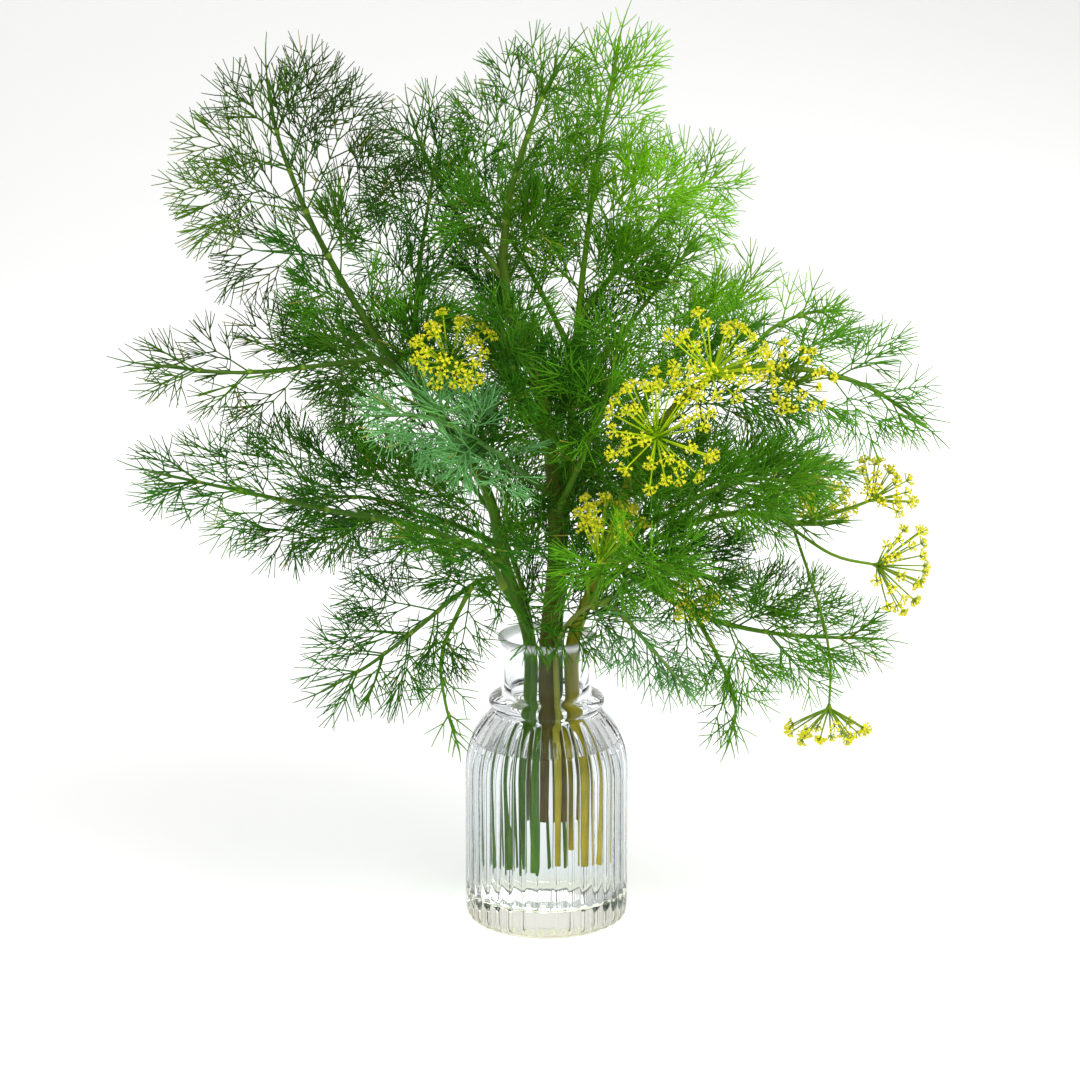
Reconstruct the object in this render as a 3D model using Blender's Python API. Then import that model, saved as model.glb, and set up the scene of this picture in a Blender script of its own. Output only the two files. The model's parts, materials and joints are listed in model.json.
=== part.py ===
"""A bunch of flowering dill that stands in a ribbed clear glass bottle vase of water.

Metres and +Z up in the finished model, with the origin at the centre of the bottle's
underside and -Y as the front.  The tables below are in millimetres, as a maker would
measure them, and MM turns them into metres.

Every leafy stem is one body: the cut stem, the leaf stalks that leave it and the needles
on them.  Every flower umbel is one body too: its stalk, its rays and its buds.
"""
import math
import random
from collections import namedtuple

import bpy
import numpy as np
from mathutils import Vector

MM = 0.001
UMBEL_GAP = 0.3           # between an umbel's stalk and the stem that it stands on, in mm
GAP = 0.35                # between the round rods of two neighbouring pieces, in mm

# Bottle, in mm
RIBS = 36
RIB_DEPTH = 1.1
INNER_SIDES = 18
BODY_RADIUS = 37.0
BODY_TOP = 70.0
COLLAR_RADIUS = 26.2
NECK_RADIUS = 19.3
LIP_RADIUS = 22.2
RIM_HEIGHT = 133.2
INNER_BODY_RADIUS = 33.8
INNER_NECK_RADIUS = 16.9
FLOOR_HEIGHT = 11.0
WATER_HEIGHT = 82.8
WATER_GAP = 0.3
STEM_HOLE_GAP = 0.35

# Radius and height of the ribbed outer wall, heel to shoulder top
RIBBED_WALL = [
    (BODY_RADIUS - 1.0, 1.6, 0.3), (BODY_RADIUS, 5.0, 1.0), (BODY_RADIUS, BODY_TOP, 1.0),
    (36.4, 77.0, 1.0), (34.4, 84.0, 1.0), (30.6, 91.5, 0.9), (26.4, 97.0, 0.5),
]
# Radius and height of the smooth outside, from the shoulder top over the lip
SMOOTH_WALL = [
    (24.6, 98.6), (COLLAR_RADIUS - 0.2, 101.0), (COLLAR_RADIUS, 103.6), (25.0, 106.8),
    (21.6, 108.6), (NECK_RADIUS + 0.4, 111.0), (NECK_RADIUS, 118.0), (NECK_RADIUS + 0.2, 127.4),
    (21.0, 129.2), (LIP_RADIUS, 131.0), (21.6, 132.8), (19.6, RIM_HEIGHT),
]
# Radius and height of the inside, from the mouth down to the floor
INNER_WALL = [
    (17.8, 131.6), (INNER_NECK_RADIUS, 128.6), (INNER_NECK_RADIUS, 105.0), (18.2, 99.4),
    (22.6, 94.4), (28.0, 88.4), (31.4, 82.0), (33.2, 75.6), (INNER_BODY_RADIUS, BODY_TOP - 1.0),
    (INNER_BODY_RADIUS, 17.0), (32.2, 13.0), (28.5, FLOOR_HEIGHT),
]

# A limb grows from the limb `parent` of its stem at `joint`, counted in that limb's points.
# `thick` is its radius at the root and at the tip.  A leaf sets pairs of needle sprays along
# the limb from the fraction `start` to its tip; `reach` is the longest spray and `faces` the
# way in which the leaf's broad side looks.
Limb = namedtuple("Limb", "parent joint points thick leaf", defaults=(None,))
Leaf = namedtuple("Leaf", "start pairs reach faces")

FRONT = (0.0, -1.0, 0.35)
FRONT_UP = (0.0, -0.7, 0.75)
UP = (0.0, -0.2, 1.0)
BACK_UP = (0.0, 0.7, 0.75)

LEAFY_STEMS = {
    "leafy_stem_left": [
        Limb(None, 0, [(-17.8, 5.4, 24), (-13, 3, 60), (-8, -1, 100), (-8, -3, 132), (-19, -6, 168),
                       (-25, -9, 197), (-36, -11, 218), (-72, -14, 268), (-98, -17, 314),
                       (-111, -19, 346), (-117, -20, 366), (-120, -20, 386)],
             (3.9, 0.7), Leaf(0.79, 4, 82, FRONT)),
        Limb(0, 6.3, [(-68, -22, 262), (-93, -30, 263), (-133, -38, 261), (-174, -44, 266)],
             (1.5, 0.6), Leaf(0.18, 5, 64, FRONT_UP)),
        Limb(0, 4.0, [(-42, -14, 181), (-66, -19, 190), (-93, -24, 196), (-128, -29, 205),
                      (-172, -34, 216)],
             (1.7, 0.6), Leaf(0.25, 6, 68, FRONT_UP)),
        Limb(0, 6.6, [(-57, -6, 290), (-53, 0, 322), (-48, 4, 350)],
             (1.3, 0.6), Leaf(0.2, 4, 58, FRONT)),
        Limb(0, 5.4, [(-52, 24, 236), (-84, 50, 254), (-118, 68, 262)],
             (1.5, 0.6), Leaf(0.3, 5, 64, BACK_UP)),
    ],
    "leafy_stem_centre": [
        Limb(None, 0, [(3.6, -7.2, 50), (2.3, -6.1, 76), (1, -5, 100), (1, -5, 132), (4, -5, 168),
                       (3, -5, 205), (-3, -4, 245), (-18, -3, 292), (-17, -3, 327),
                       (-11, -3, 351), (-2, -3, 376), (8, -3, 394)],
             (5.35, 0.7), Leaf(0.78, 4, 64, FRONT)),
        Limb(0, 5.2, [(-6, -28, 240), (-16, -46, 268), (-22, -56, 296)],
             (1.6, 0.6), Leaf(0.3, 4, 58, FRONT)),
        Limb(0, 4.6, [(16, -28, 222), (26, -42, 252), (32, -50, 284)],
             (1.6, 0.6), Leaf(0.3, 5, 60, FRONT)),
        Limb(0, 4.8, [(-22, -40, 226), (-48, -62, 246), (-74, -76, 250)],
             (1.6, 0.6), Leaf(0.35, 4, 56, FRONT_UP)),
        Limb(0, 7.1, [(-36, 6, 318), (-52, 14, 344), (-60, 18, 366)],
             (1.2, 0.6), Leaf(0.25, 4, 56, FRONT)),
    ],
    "leafy_stem_back": [
        Limb(None, 0, [(-4.9, 15.4, 22), (1, 12, 60), (5, 7, 100), (5, 7, 132), (8, 12, 180),
                       (11, 14, 230), (14, 15, 275), (19, 16, 320), (24, 17, 355),
                       (29, 18, 382), (32, 18, 400)],
             (3.1, 0.7), Leaf(0.70, 5, 68, FRONT)),
        Limb(0, 5.2, [(34, 10, 270), (52, 6, 294), (66, 4, 312)],
             (1.4, 0.6), Leaf(0.3, 5, 46, FRONT)),
        Limb(0, 4.2, [(6, 46, 222), (-2, 76, 246), (-10, 100, 258)],
             (1.6, 0.6), Leaf(0.3, 5, 66, BACK_UP)),
        Limb(0, 5.6, [(-10, 42, 296), (-30, 60, 322), (-46, 72, 342)],
             (1.4, 0.6), Leaf(0.3, 5, 60, (0, 1, 0.3))),
        Limb(0, 6.0, [(40, 44, 302), (64, 62, 322), (82, 74, 334)],
             (1.4, 0.6), Leaf(0.3, 5, 60, (0.3, 1, 0.3))),
    ],
    "leafy_stem_right_flowering": [
        Limb(None, 0, [(18.1, -5.7, 28), (16, -5, 60), (12, -3.6, 100), (12, -3.6, 132),
                       (24, -9, 165), (34, -14, 200), (47, -18, 230), (73, -22, 256),
                       (108, -24, 260), (140, -24, 252), (166, -24, 234)],
             (4.1, 0.7), Leaf(0.72, 4, 60, FRONT_UP)),
        Limb(0, 4.2, [(52, -30, 196), (84, -42, 214), (118, -48, 214)],
             (1.6, 0.6), Leaf(0.3, 5, 64, UP)),
        Limb(0, 7.3, [(98, -8, 274), (116, 2, 280), (132, 8, 280)],
             (1.2, 0.6), Leaf(0.3, 4, 36, FRONT)),
        Limb(0, 5.3, [(46, 22, 240), (72, 44, 266), (98, 58, 280)],
             (1.5, 0.6), Leaf(0.3, 5, 64, BACK_UP)),
    ],
    "leafy_stem_right_low": [
        Limb(None, 0, [(13.4, 9.9, 32), (14, 8, 60), (12, 6, 100), (12, 6, 132), (29, 4, 158),
                       (54, 1, 180), (86, -2, 190), (114, -6, 186), (132, -9, 188)],
             (2.6, 1.0), Leaf(0.75, 3, 40, UP)),
        Limb(0, 4.2, [(66, -10, 146), (102, -16, 138), (148, -18, 136)],
             (1.6, 0.6), Leaf(0.28, 5, 58, FRONT_UP)),
        Limb(1, 1.0, [(78, -26, 126), (84, -32, 108), (80, -34, 90)],
             (1.1, 0.5), Leaf(0.35, 3, 32, FRONT)),
        Limb(0, 5.1, [(80, 30, 194), (106, 52, 200), (130, 66, 198)],
             (1.5, 0.6), Leaf(0.3, 5, 60, UP)),
    ],
    "leafy_stem_front_left": [
        Limb(None, 0, [(-6, -14.7, 27), (-6, -13, 60), (-6, -11.5, 100), (-6, -12, 132),
                       (-14, -18, 150), (-24, -25, 166), (-40, -34, 160), (-58, -44, 147),
                       (-78, -54, 134), (-98, -60, 124)],
             (2.0, 0.6), Leaf(0.66, 5, 56, FRONT_UP)),
        Limb(0, 5.6, [(-46, -37, 136), (-45, -40, 114), (-39, -41, 92)],
             (1.0, 0.5), Leaf(0.35, 3, 28, FRONT)),
        Limb(0, 4.6, [(-26, -50, 184), (-38, -76, 196), (-52, -98, 198)],
             (1.4, 0.6), Leaf(0.3, 5, 58, UP)),
    ],
    "leafy_stem_front_right": [
        Limb(None, 0, [(7.7, -18.2, 31), (7, -16, 60), (5, -12.5, 100), (5, -13, 132),
                       (17, -24, 152), (30, -33, 154), (46, -40, 138), (64, -46, 118)],
             (1.9, 0.6), Leaf(0.68, 4, 40, FRONT_UP)),
        Limb(0, 4.3, [(26, -52, 178), (38, -76, 188), (54, -98, 186)],
             (1.4, 0.6), Leaf(0.3, 5, 58, UP)),
        Limb(0, 4.6, [(44, -40, 172), (62, -54, 176), (84, -66, 172)],
             (1.3, 0.6), Leaf(0.3, 4, 50, FRONT_UP)),
    ],
    "leafy_stem_back_low": [
        Limb(None, 0, [(-12, 16, 18), (-10, 13, 60), (-7, 10, 100), (-7, 10, 132), (-14, 24, 158),
                       (-26, 44, 180), (-42, 68, 192), (-60, 94, 192)],
             (2.2, 0.6), Leaf(0.6, 5, 64, UP)),
        Limb(0, 4.3, [(-48, 34, 178), (-82, 44, 186), (-116, 50, 184)],
             (1.5, 0.6), Leaf(0.3, 5, 64, UP)),
        Limb(0, 4.6, [(8, 54, 178), (34, 78, 186), (58, 98, 182)],
             (1.5, 0.6), Leaf(0.3, 5, 64, UP)),
    ],
}

# Where an umbel's stalk leaves its stem: stem, limb and joint; then the stalk's way to the
# hub, the length of the rays, their number, the way the umbel looks and the half angle of
# its cone in degrees.
Umbel = namedtuple("Umbel", "stem limb joint points reach rays faces spread")
UMBELS = {
    "umbel_left": Umbel("leafy_stem_left", 1, 0.3, [(-44, -34, 254), (-42, -46, 266)],
                        21, 13, (0.1, -0.8, 0.6), 62),
    "umbel_large": Umbel("leafy_stem_right_flowering", 0, 5.3, [(44, -40, 222), (47, -54, 236)],
                         29, 17, (0.05, -0.9, 0.4), 66),
    "umbel_upper": Umbel("leafy_stem_right_flowering", 0, 6.9, [(72, -36, 260), (71, -44, 262)],
                         25, 14, (0.1, -0.8, 0.6), 64),
    "umbel_front": Umbel("leafy_stem_front_right", 0, 4.2, [(18, -40, 168), (23, -44, 178)],
                         30, 11, (0.20, -0.35, 1.0), 38),
    "umbel_far_right": Umbel("leafy_stem_right_low", 0, 7.0, [(134, -18, 196), (144, -18, 200)],
                             17, 10, (0.5, -0.5, 0.7), 60),
    "umbel_right_tip": Umbel("leafy_stem_right_low", 0, 6.6, [(126, -22, 176), (146, -26, 172)],
                             24, 12, (0.75, -0.5, 0.0), 68),
    "umbel_right_inner": Umbel("leafy_stem_right_low", 0, 6.2, [(108, 10, 186), (120, 14, 184)],
                               18, 10, (0.3, -0.4, 0.8), 58),
    "umbel_hanging": Umbel("leafy_stem_right_low", 0, 6.8,
                           [(121, -22, 152), (126, -25, 128), (126, -25, 106)],
                           20, 10, (0.0, -0.25, -1.0), 74),
    "umbel_small": Umbel("leafy_stem_front_right", 2, 1.0, [(60, -44, 166), (62, -40, 158)],
                         12, 8, (0.2, -0.8, 0.5), 60),
    "umbel_green": Umbel("leafy_stem_right_flowering", 0, 7.6, [(104, -34, 258), (106, -40, 257)],
                         18, 11, (0.1, -0.9, 0.4), 66),
}

STEM_SIDES = 6
STEM_SPIN = 0.3
LIMB_SIDES = 4
SPRAY_RADIUS = 0.65
SPRAY_ROOT_RADIUS = 0.4     # inside the stalk, so that the root doesn't come out behind
NEEDLE_RADIUS = 0.5
NEEDLE_ROOT = 1.1           # length of a needle's root along its spray, in mm
NEEDLE_SHARES = (0.42,)     # where on a spray its needles leave
HUB_RADIUS = 2.0
BUD_SIZE = 2.6
STEP_LENGTH = 22.0          # length of a straight stretch of a stem or leaf stalk, in mm
NECK_JOINT = 3              # the point of every stem that stands in the bottle's mouth
GOLDEN_ANGLE = math.radians(137.5)

LEAF_GREEN = (0.060, 0.190, 0.030)
UMBEL_YELLOW = (0.560, 0.530, 0.045)
GLASS_TINT = (0.900, 0.930, 0.900)
WATER_TINT = (0.850, 0.900, 0.880)


def clear_scene():
    for old in list(bpy.data.objects):
        bpy.data.objects.remove(old, do_unlink=True)


def material(name, colour, roughness, alpha=1.0):
    finish = bpy.data.materials.new(name)
    finish.use_nodes = True
    shader = finish.node_tree.nodes["Principled BSDF"]
    shader.inputs["Base Color"].default_value = (*colour, 1.0)
    shader.inputs["Roughness"].default_value = roughness
    shader.inputs["Metallic"].default_value = 0.0
    shader.inputs["Alpha"].default_value = alpha
    return finish


def place(name, corners, faces, finish=None):
    """An object from corner points in mm."""
    mesh = bpy.data.meshes.new(name)
    mesh.from_pydata([tuple(Vector(corner) * MM) for corner in corners], [], faces)
    mesh.update()
    if finish:
        mesh.materials.append(finish)
    piece = bpy.data.objects.new(name, mesh)
    bpy.context.collection.objects.link(piece)
    return piece


# Turned shapes: the bottle and its water

def ring(radius, height, count, rib_depth=0.0):
    """Corner points round the axis; with a rib depth every other point is a groove."""
    points = []
    for index in range(count):
        angle = 2.0 * math.pi * index / count
        reach = radius - rib_depth * (index % 2)
        points.append((reach * math.cos(angle), reach * math.sin(angle), height))
    return points


def turned(name, rings, finish):
    """A closed skin over rings in order, each with as many points as the last or half."""
    corners = []
    faces = []
    starts = []
    for points in rings:
        starts.append(len(corners))
        corners.extend(points)
    for (low, lower), (high, upper) in zip(zip(starts, rings), zip(starts[1:], rings[1:])):
        count = len(lower)
        if len(upper) == count:
            for i in range(count):
                j = (i + 1) % count
                faces.append((low + i, low + j, high + j))
                faces.append((low + i, high + j, high + i))
            continue
        for i in range(len(upper)):
            j = (i + 1) % len(upper)
            left, middle, right = 2 * i, 2 * i + 1, (2 * i + 2) % count
            faces.append((low + left, low + middle, high + i))
            faces.append((low + middle, high + j, high + i))
            faces.append((low + middle, low + right, high + j))
    for start, points, flip in ((starts[0], rings[0], True), (starts[-1], rings[-1], False)):
        centre = len(corners)
        corners.append((0.0, 0.0, points[0][2]))
        for i in range(len(points)):
            j = (i + 1) % len(points)
            faces.append((start + j, start + i, centre) if flip else (start + i, start + j, centre))
    return place(name, corners, faces, finish)


def glass_bottle():
    """Thick pressed glass: ribbed wall and shoulder, ring, smooth neck and rolled lip."""
    rings = [ring(BODY_RADIUS - 3.5, 0.0, 2 * RIBS)]
    rings += [ring(r, z, 2 * RIBS, RIB_DEPTH * share) for r, z, share in RIBBED_WALL]
    rings += [ring(r, z, RIBS) for r, z in SMOOTH_WALL]
    rings += [ring(r, z, INNER_SIDES) for r, z in INNER_WALL]
    return turned("glass_bottle", rings, material("bottle_glass", GLASS_TINT, 0.05, 0.35))


def water(stem_paths):
    """Fills the bottle to the shoulder, with a plain hole round every stem."""
    edge = [(r, z) for r, z in reversed(INNER_WALL) if z < WATER_HEIGHT]
    rings = [ring(edge[0][0] - WATER_GAP, FLOOR_HEIGHT + WATER_GAP, INNER_SIDES)]
    rings += [ring(r - WATER_GAP, z + WATER_GAP * 0.5, INNER_SIDES) for r, z in edge[1:-1]]
    rings.append(ring(edge[-1][0] - 2.0 * WATER_GAP, WATER_HEIGHT, INNER_SIDES))
    body = turned("water", rings, material("clear_water", WATER_TINT, 0.03, 0.4))
    holes = bpy.data.collections.new("stem_holes")
    for index, (points, radii) in enumerate(stem_paths):
        bottom = points[0] - (points[1] - points[0]).normalized() * 0.6
        widened = [radius + STEM_HOLE_GAP / math.cos(math.pi / STEM_SIDES) for radius in radii]
        corners, faces = rod([bottom] + points[1:], widened, STEM_SIDES, STEM_SPIN)
        cutter = place(f"stem_hole_{index}", corners, faces)
        bpy.context.collection.objects.unlink(cutter)
        holes.objects.link(cutter)
    join(body, holes, "DIFFERENCE", "EXACT")
    return body


# Rods: every stem, ray and needle

def rod(points, radii, sides, spin=0.0):
    """Corners and faces of a closed rod through the points; a last radius of 0 is a point."""
    points = [Vector(point) for point in points]
    ways = [(b - a).normalized() for a, b in zip(points, points[1:])]
    ways = [ways[0]] + [(a + b).normalized() for a, b in zip(ways, ways[1:])] + [ways[-1]]
    across = ways[0].orthogonal().normalized()
    corners = []
    faces = []
    pointed = radii[-1] == 0.0
    for point, radius, way in zip(points, radii, ways):
        across = (across - way * across.dot(way)).normalized()
        other = way.cross(across)
        if pointed and radius == 0.0:
            corners.append(point)
            continue
        for side in range(sides):
            angle = spin + 2.0 * math.pi * side / sides
            corners.append(point + (across * math.cos(angle) + other * math.sin(angle)) * radius)
    full_rings = len(points) - 1 if pointed else len(points)
    for level in range(full_rings - 1):
        for side in range(sides):
            a = level * sides + side
            b = level * sides + (side + 1) % sides
            faces += [(a, b, b + sides), (a, b + sides, a + sides)]
    faces += [(0, side + 1, side) for side in range(1, sides - 1)]
    last = (full_rings - 1) * sides
    if pointed:
        faces += [(last + side, last + (side + 1) % sides, len(corners) - 1) for side in range(sides)]
    else:
        faces += [(last, last + side, last + side + 1) for side in range(1, sides - 1)]
    return corners, faces


def comb(root, tip, radius, shares, find_needle):
    """A three-sided spray with a pair of needles drawn out of its sides at each share.

    The sides between two close rings are the needles' roots, so they grow out of the
    spray without a seam.  find_needle gives a needle's tip for its root, or None.
    """
    way = (tip - root).normalized()
    length = (tip - root).length
    across = way.orthogonal().normalized()
    other = way.cross(across)
    outward = [across * math.cos(angle) + other * math.sin(angle)
               for angle in (math.radians(120.0 * side) for side in range(3))]
    places = [0.0]
    for share in shares:
        places += [share * length, share * length + NEEDLE_ROOT]
    corners = []
    for place_on in places:
        thick = radius * (1.0 - 0.45 * place_on / length) if place_on else SPRAY_ROOT_RADIUS
        corners += [root + way * place_on + heading * thick for heading in outward]
    corners.append(tip)
    faces = [(0, 2, 1)]
    for level in range(len(places) - 1):
        for side in range(3):
            a = 3 * level + side
            b = 3 * level + (side + 1) % 3
            quad = (a, b, b + 3, a + 3)
            middle = sum((corners[corner] for corner in quad), Vector()) / 4.0
            needle = find_needle(middle, way, (outward[side] + outward[(side + 1) % 3]).normalized(),
                                 level // 2, side) if level % 2 == 1 and side < 2 else None
            if needle is None:
                faces += [(a, b, b + 3), (a, b + 3, a + 3)]
                continue
            corners.append(needle)
            faces += [(quad[k], quad[(k + 1) % 4], len(corners) - 1) for k in range(4)]
    last = 3 * (len(places) - 1)
    top = 3 * len(places)
    faces += [(last + side, last + (side + 1) % 3, top) for side in range(3)]
    return corners, faces


def join(body, tools, operation, solver):
    """One Boolean of the whole collection with the body, applied; the tools are removed."""
    cut = body.modifiers.new("join", "BOOLEAN")
    cut.operation = operation
    cut.operand_type = "COLLECTION"
    cut.collection = tools
    cut.solver = solver
    bpy.context.scene.collection.children.link(tools)
    bpy.context.view_layer.update()
    graph = bpy.context.evaluated_depsgraph_get()
    joined = bpy.data.meshes.new_from_object(body.evaluated_get(graph))
    body.modifiers.clear()
    body.data = joined
    for tool in list(tools.objects):
        bpy.data.objects.remove(tool, do_unlink=True)
    bpy.data.collections.remove(tools)


def curve_point(points, joint):
    """The point of a smooth curve through the points, counted in points from its start."""
    index = min(int(joint), len(points) - 2)
    t = joint - index
    p1, p2 = points[index], points[index + 1]
    p0 = points[index - 1] if index > 0 else p1 * 2.0 - p2
    p3 = points[index + 2] if index + 2 < len(points) else p2 * 2.0 - p1
    return 0.5 * (p1 * 2.0 + (p2 - p0) * t + (p0 * 2.0 - p1 * 5.0 + p2 * 4.0 - p3) * t * t
                  + (p1 * 3.0 - p0 - p2 * 3.0 + p3) * t * t * t)


def smooth_path(points, step, straight=0):
    """Points along the smooth curve, about a step apart after its straight part, and joints."""
    joints = [0.0]
    for index, (a, b) in enumerate(zip(points, points[1:])):
        pieces = 1 if index < straight else max(1, round((b - a).length / step))
        joints += [index + part / pieces for part in range(1, pieces + 1)]
    return [curve_point(points, joint) for joint in joints], joints


class Thicket:
    """Every straight stretch placed so far, to keep the pieces clear of one another."""

    def __init__(self):
        self.starts = np.zeros((0, 3))
        self.ends = np.zeros((0, 3))
        self.radii = np.zeros(0)
        self.owners = np.zeros(0, dtype=int)

    def add(self, points, radii, owner):
        points = np.array([tuple(point) for point in points])
        radii = np.maximum(np.array(radii[:-1]), np.array(radii[1:]))
        self.starts = np.vstack([self.starts, points[:-1]])
        self.ends = np.vstack([self.ends, points[1:]])
        self.radii = np.concatenate([self.radii, radii])
        self.owners = np.concatenate([self.owners, np.full(len(radii), owner)])

    def room(self, start, end, radius, owner):
        """Free space between a straight rod and the nearest piece of another owner."""
        others = self.owners != owner
        if not others.any():
            return 1000.0
        a, b = self.starts[others], self.ends[others]
        p, q = np.array(tuple(start)), np.array(tuple(end))
        d1, d2 = q - p, b - a
        between = p - a
        e1, e2 = d1 @ d1, np.maximum((d2 * d2).sum(1), 1e-9)
        cross, c, f = d2 @ d1, between @ d1, (between * d2).sum(1)
        spread = np.maximum(e1 * e2 - cross * cross, 1e-9)
        s = np.clip((cross * f - c * e2) / spread, 0.0, 1.0)
        t = np.clip((cross * s + f) / e2, 0.0, 1.0)
        s = np.clip((cross * t - c) / max(e1, 1e-9), 0.0, 1.0)
        apart = np.linalg.norm(between + s[:, None] * d1 - t[:, None] * d2, axis=1)
        return float((apart - self.radii[others] - radius).min())

    def path_room(self, points, radii, owner):
        return min(self.room(a, b, max(ra, rb), owner)
                   for a, b, ra, rb in zip(points, points[1:], radii, radii[1:]))


def outside_bottle(start, end, radius):
    """True where a straight rod stays out of the glass and off its mouth."""
    for part in (0.0, 0.25, 0.5, 0.75, 1.0):
        point = start.lerp(end, part)
        reach = math.hypot(point.x, point.y) - radius - 1.0
        if point.z < RIM_HEIGHT + 1.0 and reach < BODY_RADIUS:
            if point.z < 98.0 or reach < COLLAR_RADIUS:
                return False
    return True


def spray_length(share, reach):
    """Sprays are longest a third of the way up a leaf and shorten to its tip."""
    return reach * (1.0 - 0.58 * share) * min(1.0, 0.76 + share)


def turned_way(way, axis, angle):
    """The direction `way` turned by an angle about an axis."""
    axis = axis.normalized()
    return (way * math.cos(angle) + axis.cross(way) * math.sin(angle)
            + axis * axis.dot(way) * (1.0 - math.cos(angle)))


def leaf_sprays(path, leaf, seed):
    """Root, direction and length of every needle spray of a leaf, in pairs along its stalk."""
    draw = random.Random(seed)
    lengths = [0.0]
    for a, b in zip(path, path[1:]):
        lengths.append(lengths[-1] + (b - a).length)
    facing = Vector(leaf.faces)
    sprays = []
    for pair in range(leaf.pairs):
        share = (pair / leaf.pairs) ** 0.9
        place_on = lengths[-1] * (leaf.start + (0.985 - leaf.start) * share)
        index = next(i for i, run in enumerate(lengths) if run >= place_on) - 1
        root = path[index].lerp(path[index + 1],
                                (place_on - lengths[index]) / (lengths[index + 1] - lengths[index]))
        way = (path[index + 1] - path[index]).normalized()
        across = way.cross(facing).normalized()
        for hand in (-1.0, 1.0):
            opening = math.radians(58.0 - 22.0 * share + draw.uniform(-6.0, 6.0))
            roll = math.radians(draw.uniform(-26.0, 26.0))
            aside = turned_way(across * hand, way, roll * hand)
            direction = (way * math.cos(opening) + aside * math.sin(opening)).normalized()
            length = spray_length(share, leaf.reach) * draw.uniform(0.88, 1.06)
            sprays.append((root, direction, length, way, draw.randrange(1 << 20)))
    return sprays


def settled(thicket, owner, root, direction, length, radius, seed):
    """The direction, turned away bit by bit where another piece is in the way, or None."""
    draw = random.Random(seed)
    start = root + direction * 1.5
    for attempt in range(26):
        turn = math.radians(4.0 * attempt)
        tilt = Vector((draw.uniform(-1, 1), draw.uniform(-1, 1), draw.uniform(-1, 1)))
        trial = turned_way(direction, tilt.cross(direction), turn)
        reach = length * (1.0 if attempt < 18 else 0.7)
        end = root + trial * reach
        if outside_bottle(start, end, radius) and thicket.room(root, end, radius, owner) > GAP:
            return trial, reach
    return None


def tapered(count, thick):
    return [thick[0] + (thick[1] - thick[0]) * index / (count - 1) for index in range(count)]


def point_at_joint(path, joints, joint):
    """The point on the straight stretches of a sampled path that belongs to a joint."""
    for index in range(len(joints) - 1):
        if joint <= joints[index + 1]:
            share = (joint - joints[index]) / (joints[index + 1] - joints[index])
            return path[index].lerp(path[index + 1], share)
    return path[-1]


def needle_finder(thicket, owner, spray_reach, seed):
    """Gives the tip of each needle of one spray where there is room for it."""
    def find_needle(root, way, outward, pair, side):
        draw = random.Random(seed + 7 * pair + side)
        reach = min(0.42 * spray_reach, 20.0) * draw.uniform(0.9, 1.1) * (1.0 - 0.25 * pair)
        for _ in range(12):
            opening = math.radians(draw.uniform(34.0, 50.0))
            aside = turned_way(outward, way, math.radians(draw.uniform(-40.0, 40.0)))
            heading = way * math.cos(opening) + aside * math.sin(opening)
            tip = root + heading * reach
            if not outside_bottle(root, tip, NEEDLE_RADIUS):
                continue
            if thicket.room(root, tip, NEEDLE_RADIUS, owner) > GAP:
                thicket.add([root, tip], [NEEDLE_RADIUS] * 2, owner)
                return tip
        return None
    return find_needle


def limb_rods(limbs):
    """Every limb's sampled points, their joints and radii; each starts inside its parent."""
    rods = []
    for limb in limbs:
        points = [Vector(point) for point in limb.points]
        if limb.parent is not None:
            points.insert(0, point_at_joint(*rods[limb.parent][:2], limb.joint))
        path, joints = smooth_path(points, STEP_LENGTH, NECK_JOINT if limb.parent is None else 0)
        rods.append((path, joints, tapered(len(path), limb.thick)))
    return rods


def umbel_stalk(thicket, owner, root, umbel):
    """The stalk starts as close to its stem's middle line as the gap between them allows."""
    points = [Vector(point) for point in umbel.points]
    away = (points[0] - root).normalized()
    distance = 1.0
    room = 0.0
    while room < UMBEL_GAP and distance < 12.0:
        distance += 0.2
        path, _ = smooth_path([root + away * distance] + points, STEP_LENGTH)
        radii = tapered(len(path), (0.9, 0.75))
        room = thicket.path_room(path, radii, owner)
    return path, radii


def umbel_rays(hub, umbel, seed):
    """Direction and length of an umbel's rays, spread evenly over its cone."""
    draw = random.Random(seed)
    middle = Vector(umbel.faces).normalized()
    side = middle.orthogonal().normalized()
    rays = []
    for index in range(umbel.rays):
        lean = math.radians(umbel.spread) * math.sqrt((index + 0.4) / umbel.rays)
        around = index * GOLDEN_ANGLE + draw.uniform(-0.2, 0.2)
        aside = turned_way(side, middle, around)
        heading = (middle * math.cos(lean) + aside * math.sin(lean)).normalized()
        rays.append((heading, umbel.reach * draw.uniform(0.9, 1.05)))
    return rays


def budded_ray(hub, heading, reach):
    """A ray of an umbel that widens at its end into a small head of buds."""
    tip = hub + heading * reach
    points = [hub + heading * HUB_RADIUS * 0.55, tip - heading * BUD_SIZE,
              tip + heading * BUD_SIZE * 0.35, tip + heading * BUD_SIZE * 0.7]
    return rod(points, [0.26, 0.4, BUD_SIZE * 0.7, 0.0], 3)


def umbel_hub(hub, heading):
    """The thickened end of the stalk that all rays start from."""
    points = [hub - heading * HUB_RADIUS, hub, hub + heading * HUB_RADIUS]
    return rod(points, [0.4 * HUB_RADIUS, 1.1 * HUB_RADIUS, 0.0], 6)


def build_node(name, rods, finish):
    """The first rod is the body; all others are joined to it in one Boolean."""
    body = place(name, *rods[0], finish)
    parts = bpy.data.collections.new(name + "_parts")
    for index, (corners, faces) in enumerate(rods[1:]):
        piece = place(f"{name}_part_{index}", corners, faces)
        bpy.context.collection.objects.unlink(piece)
        parts.objects.link(piece)
    join(body, parts, "UNION", "MANIFOLD")
    return body


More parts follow.
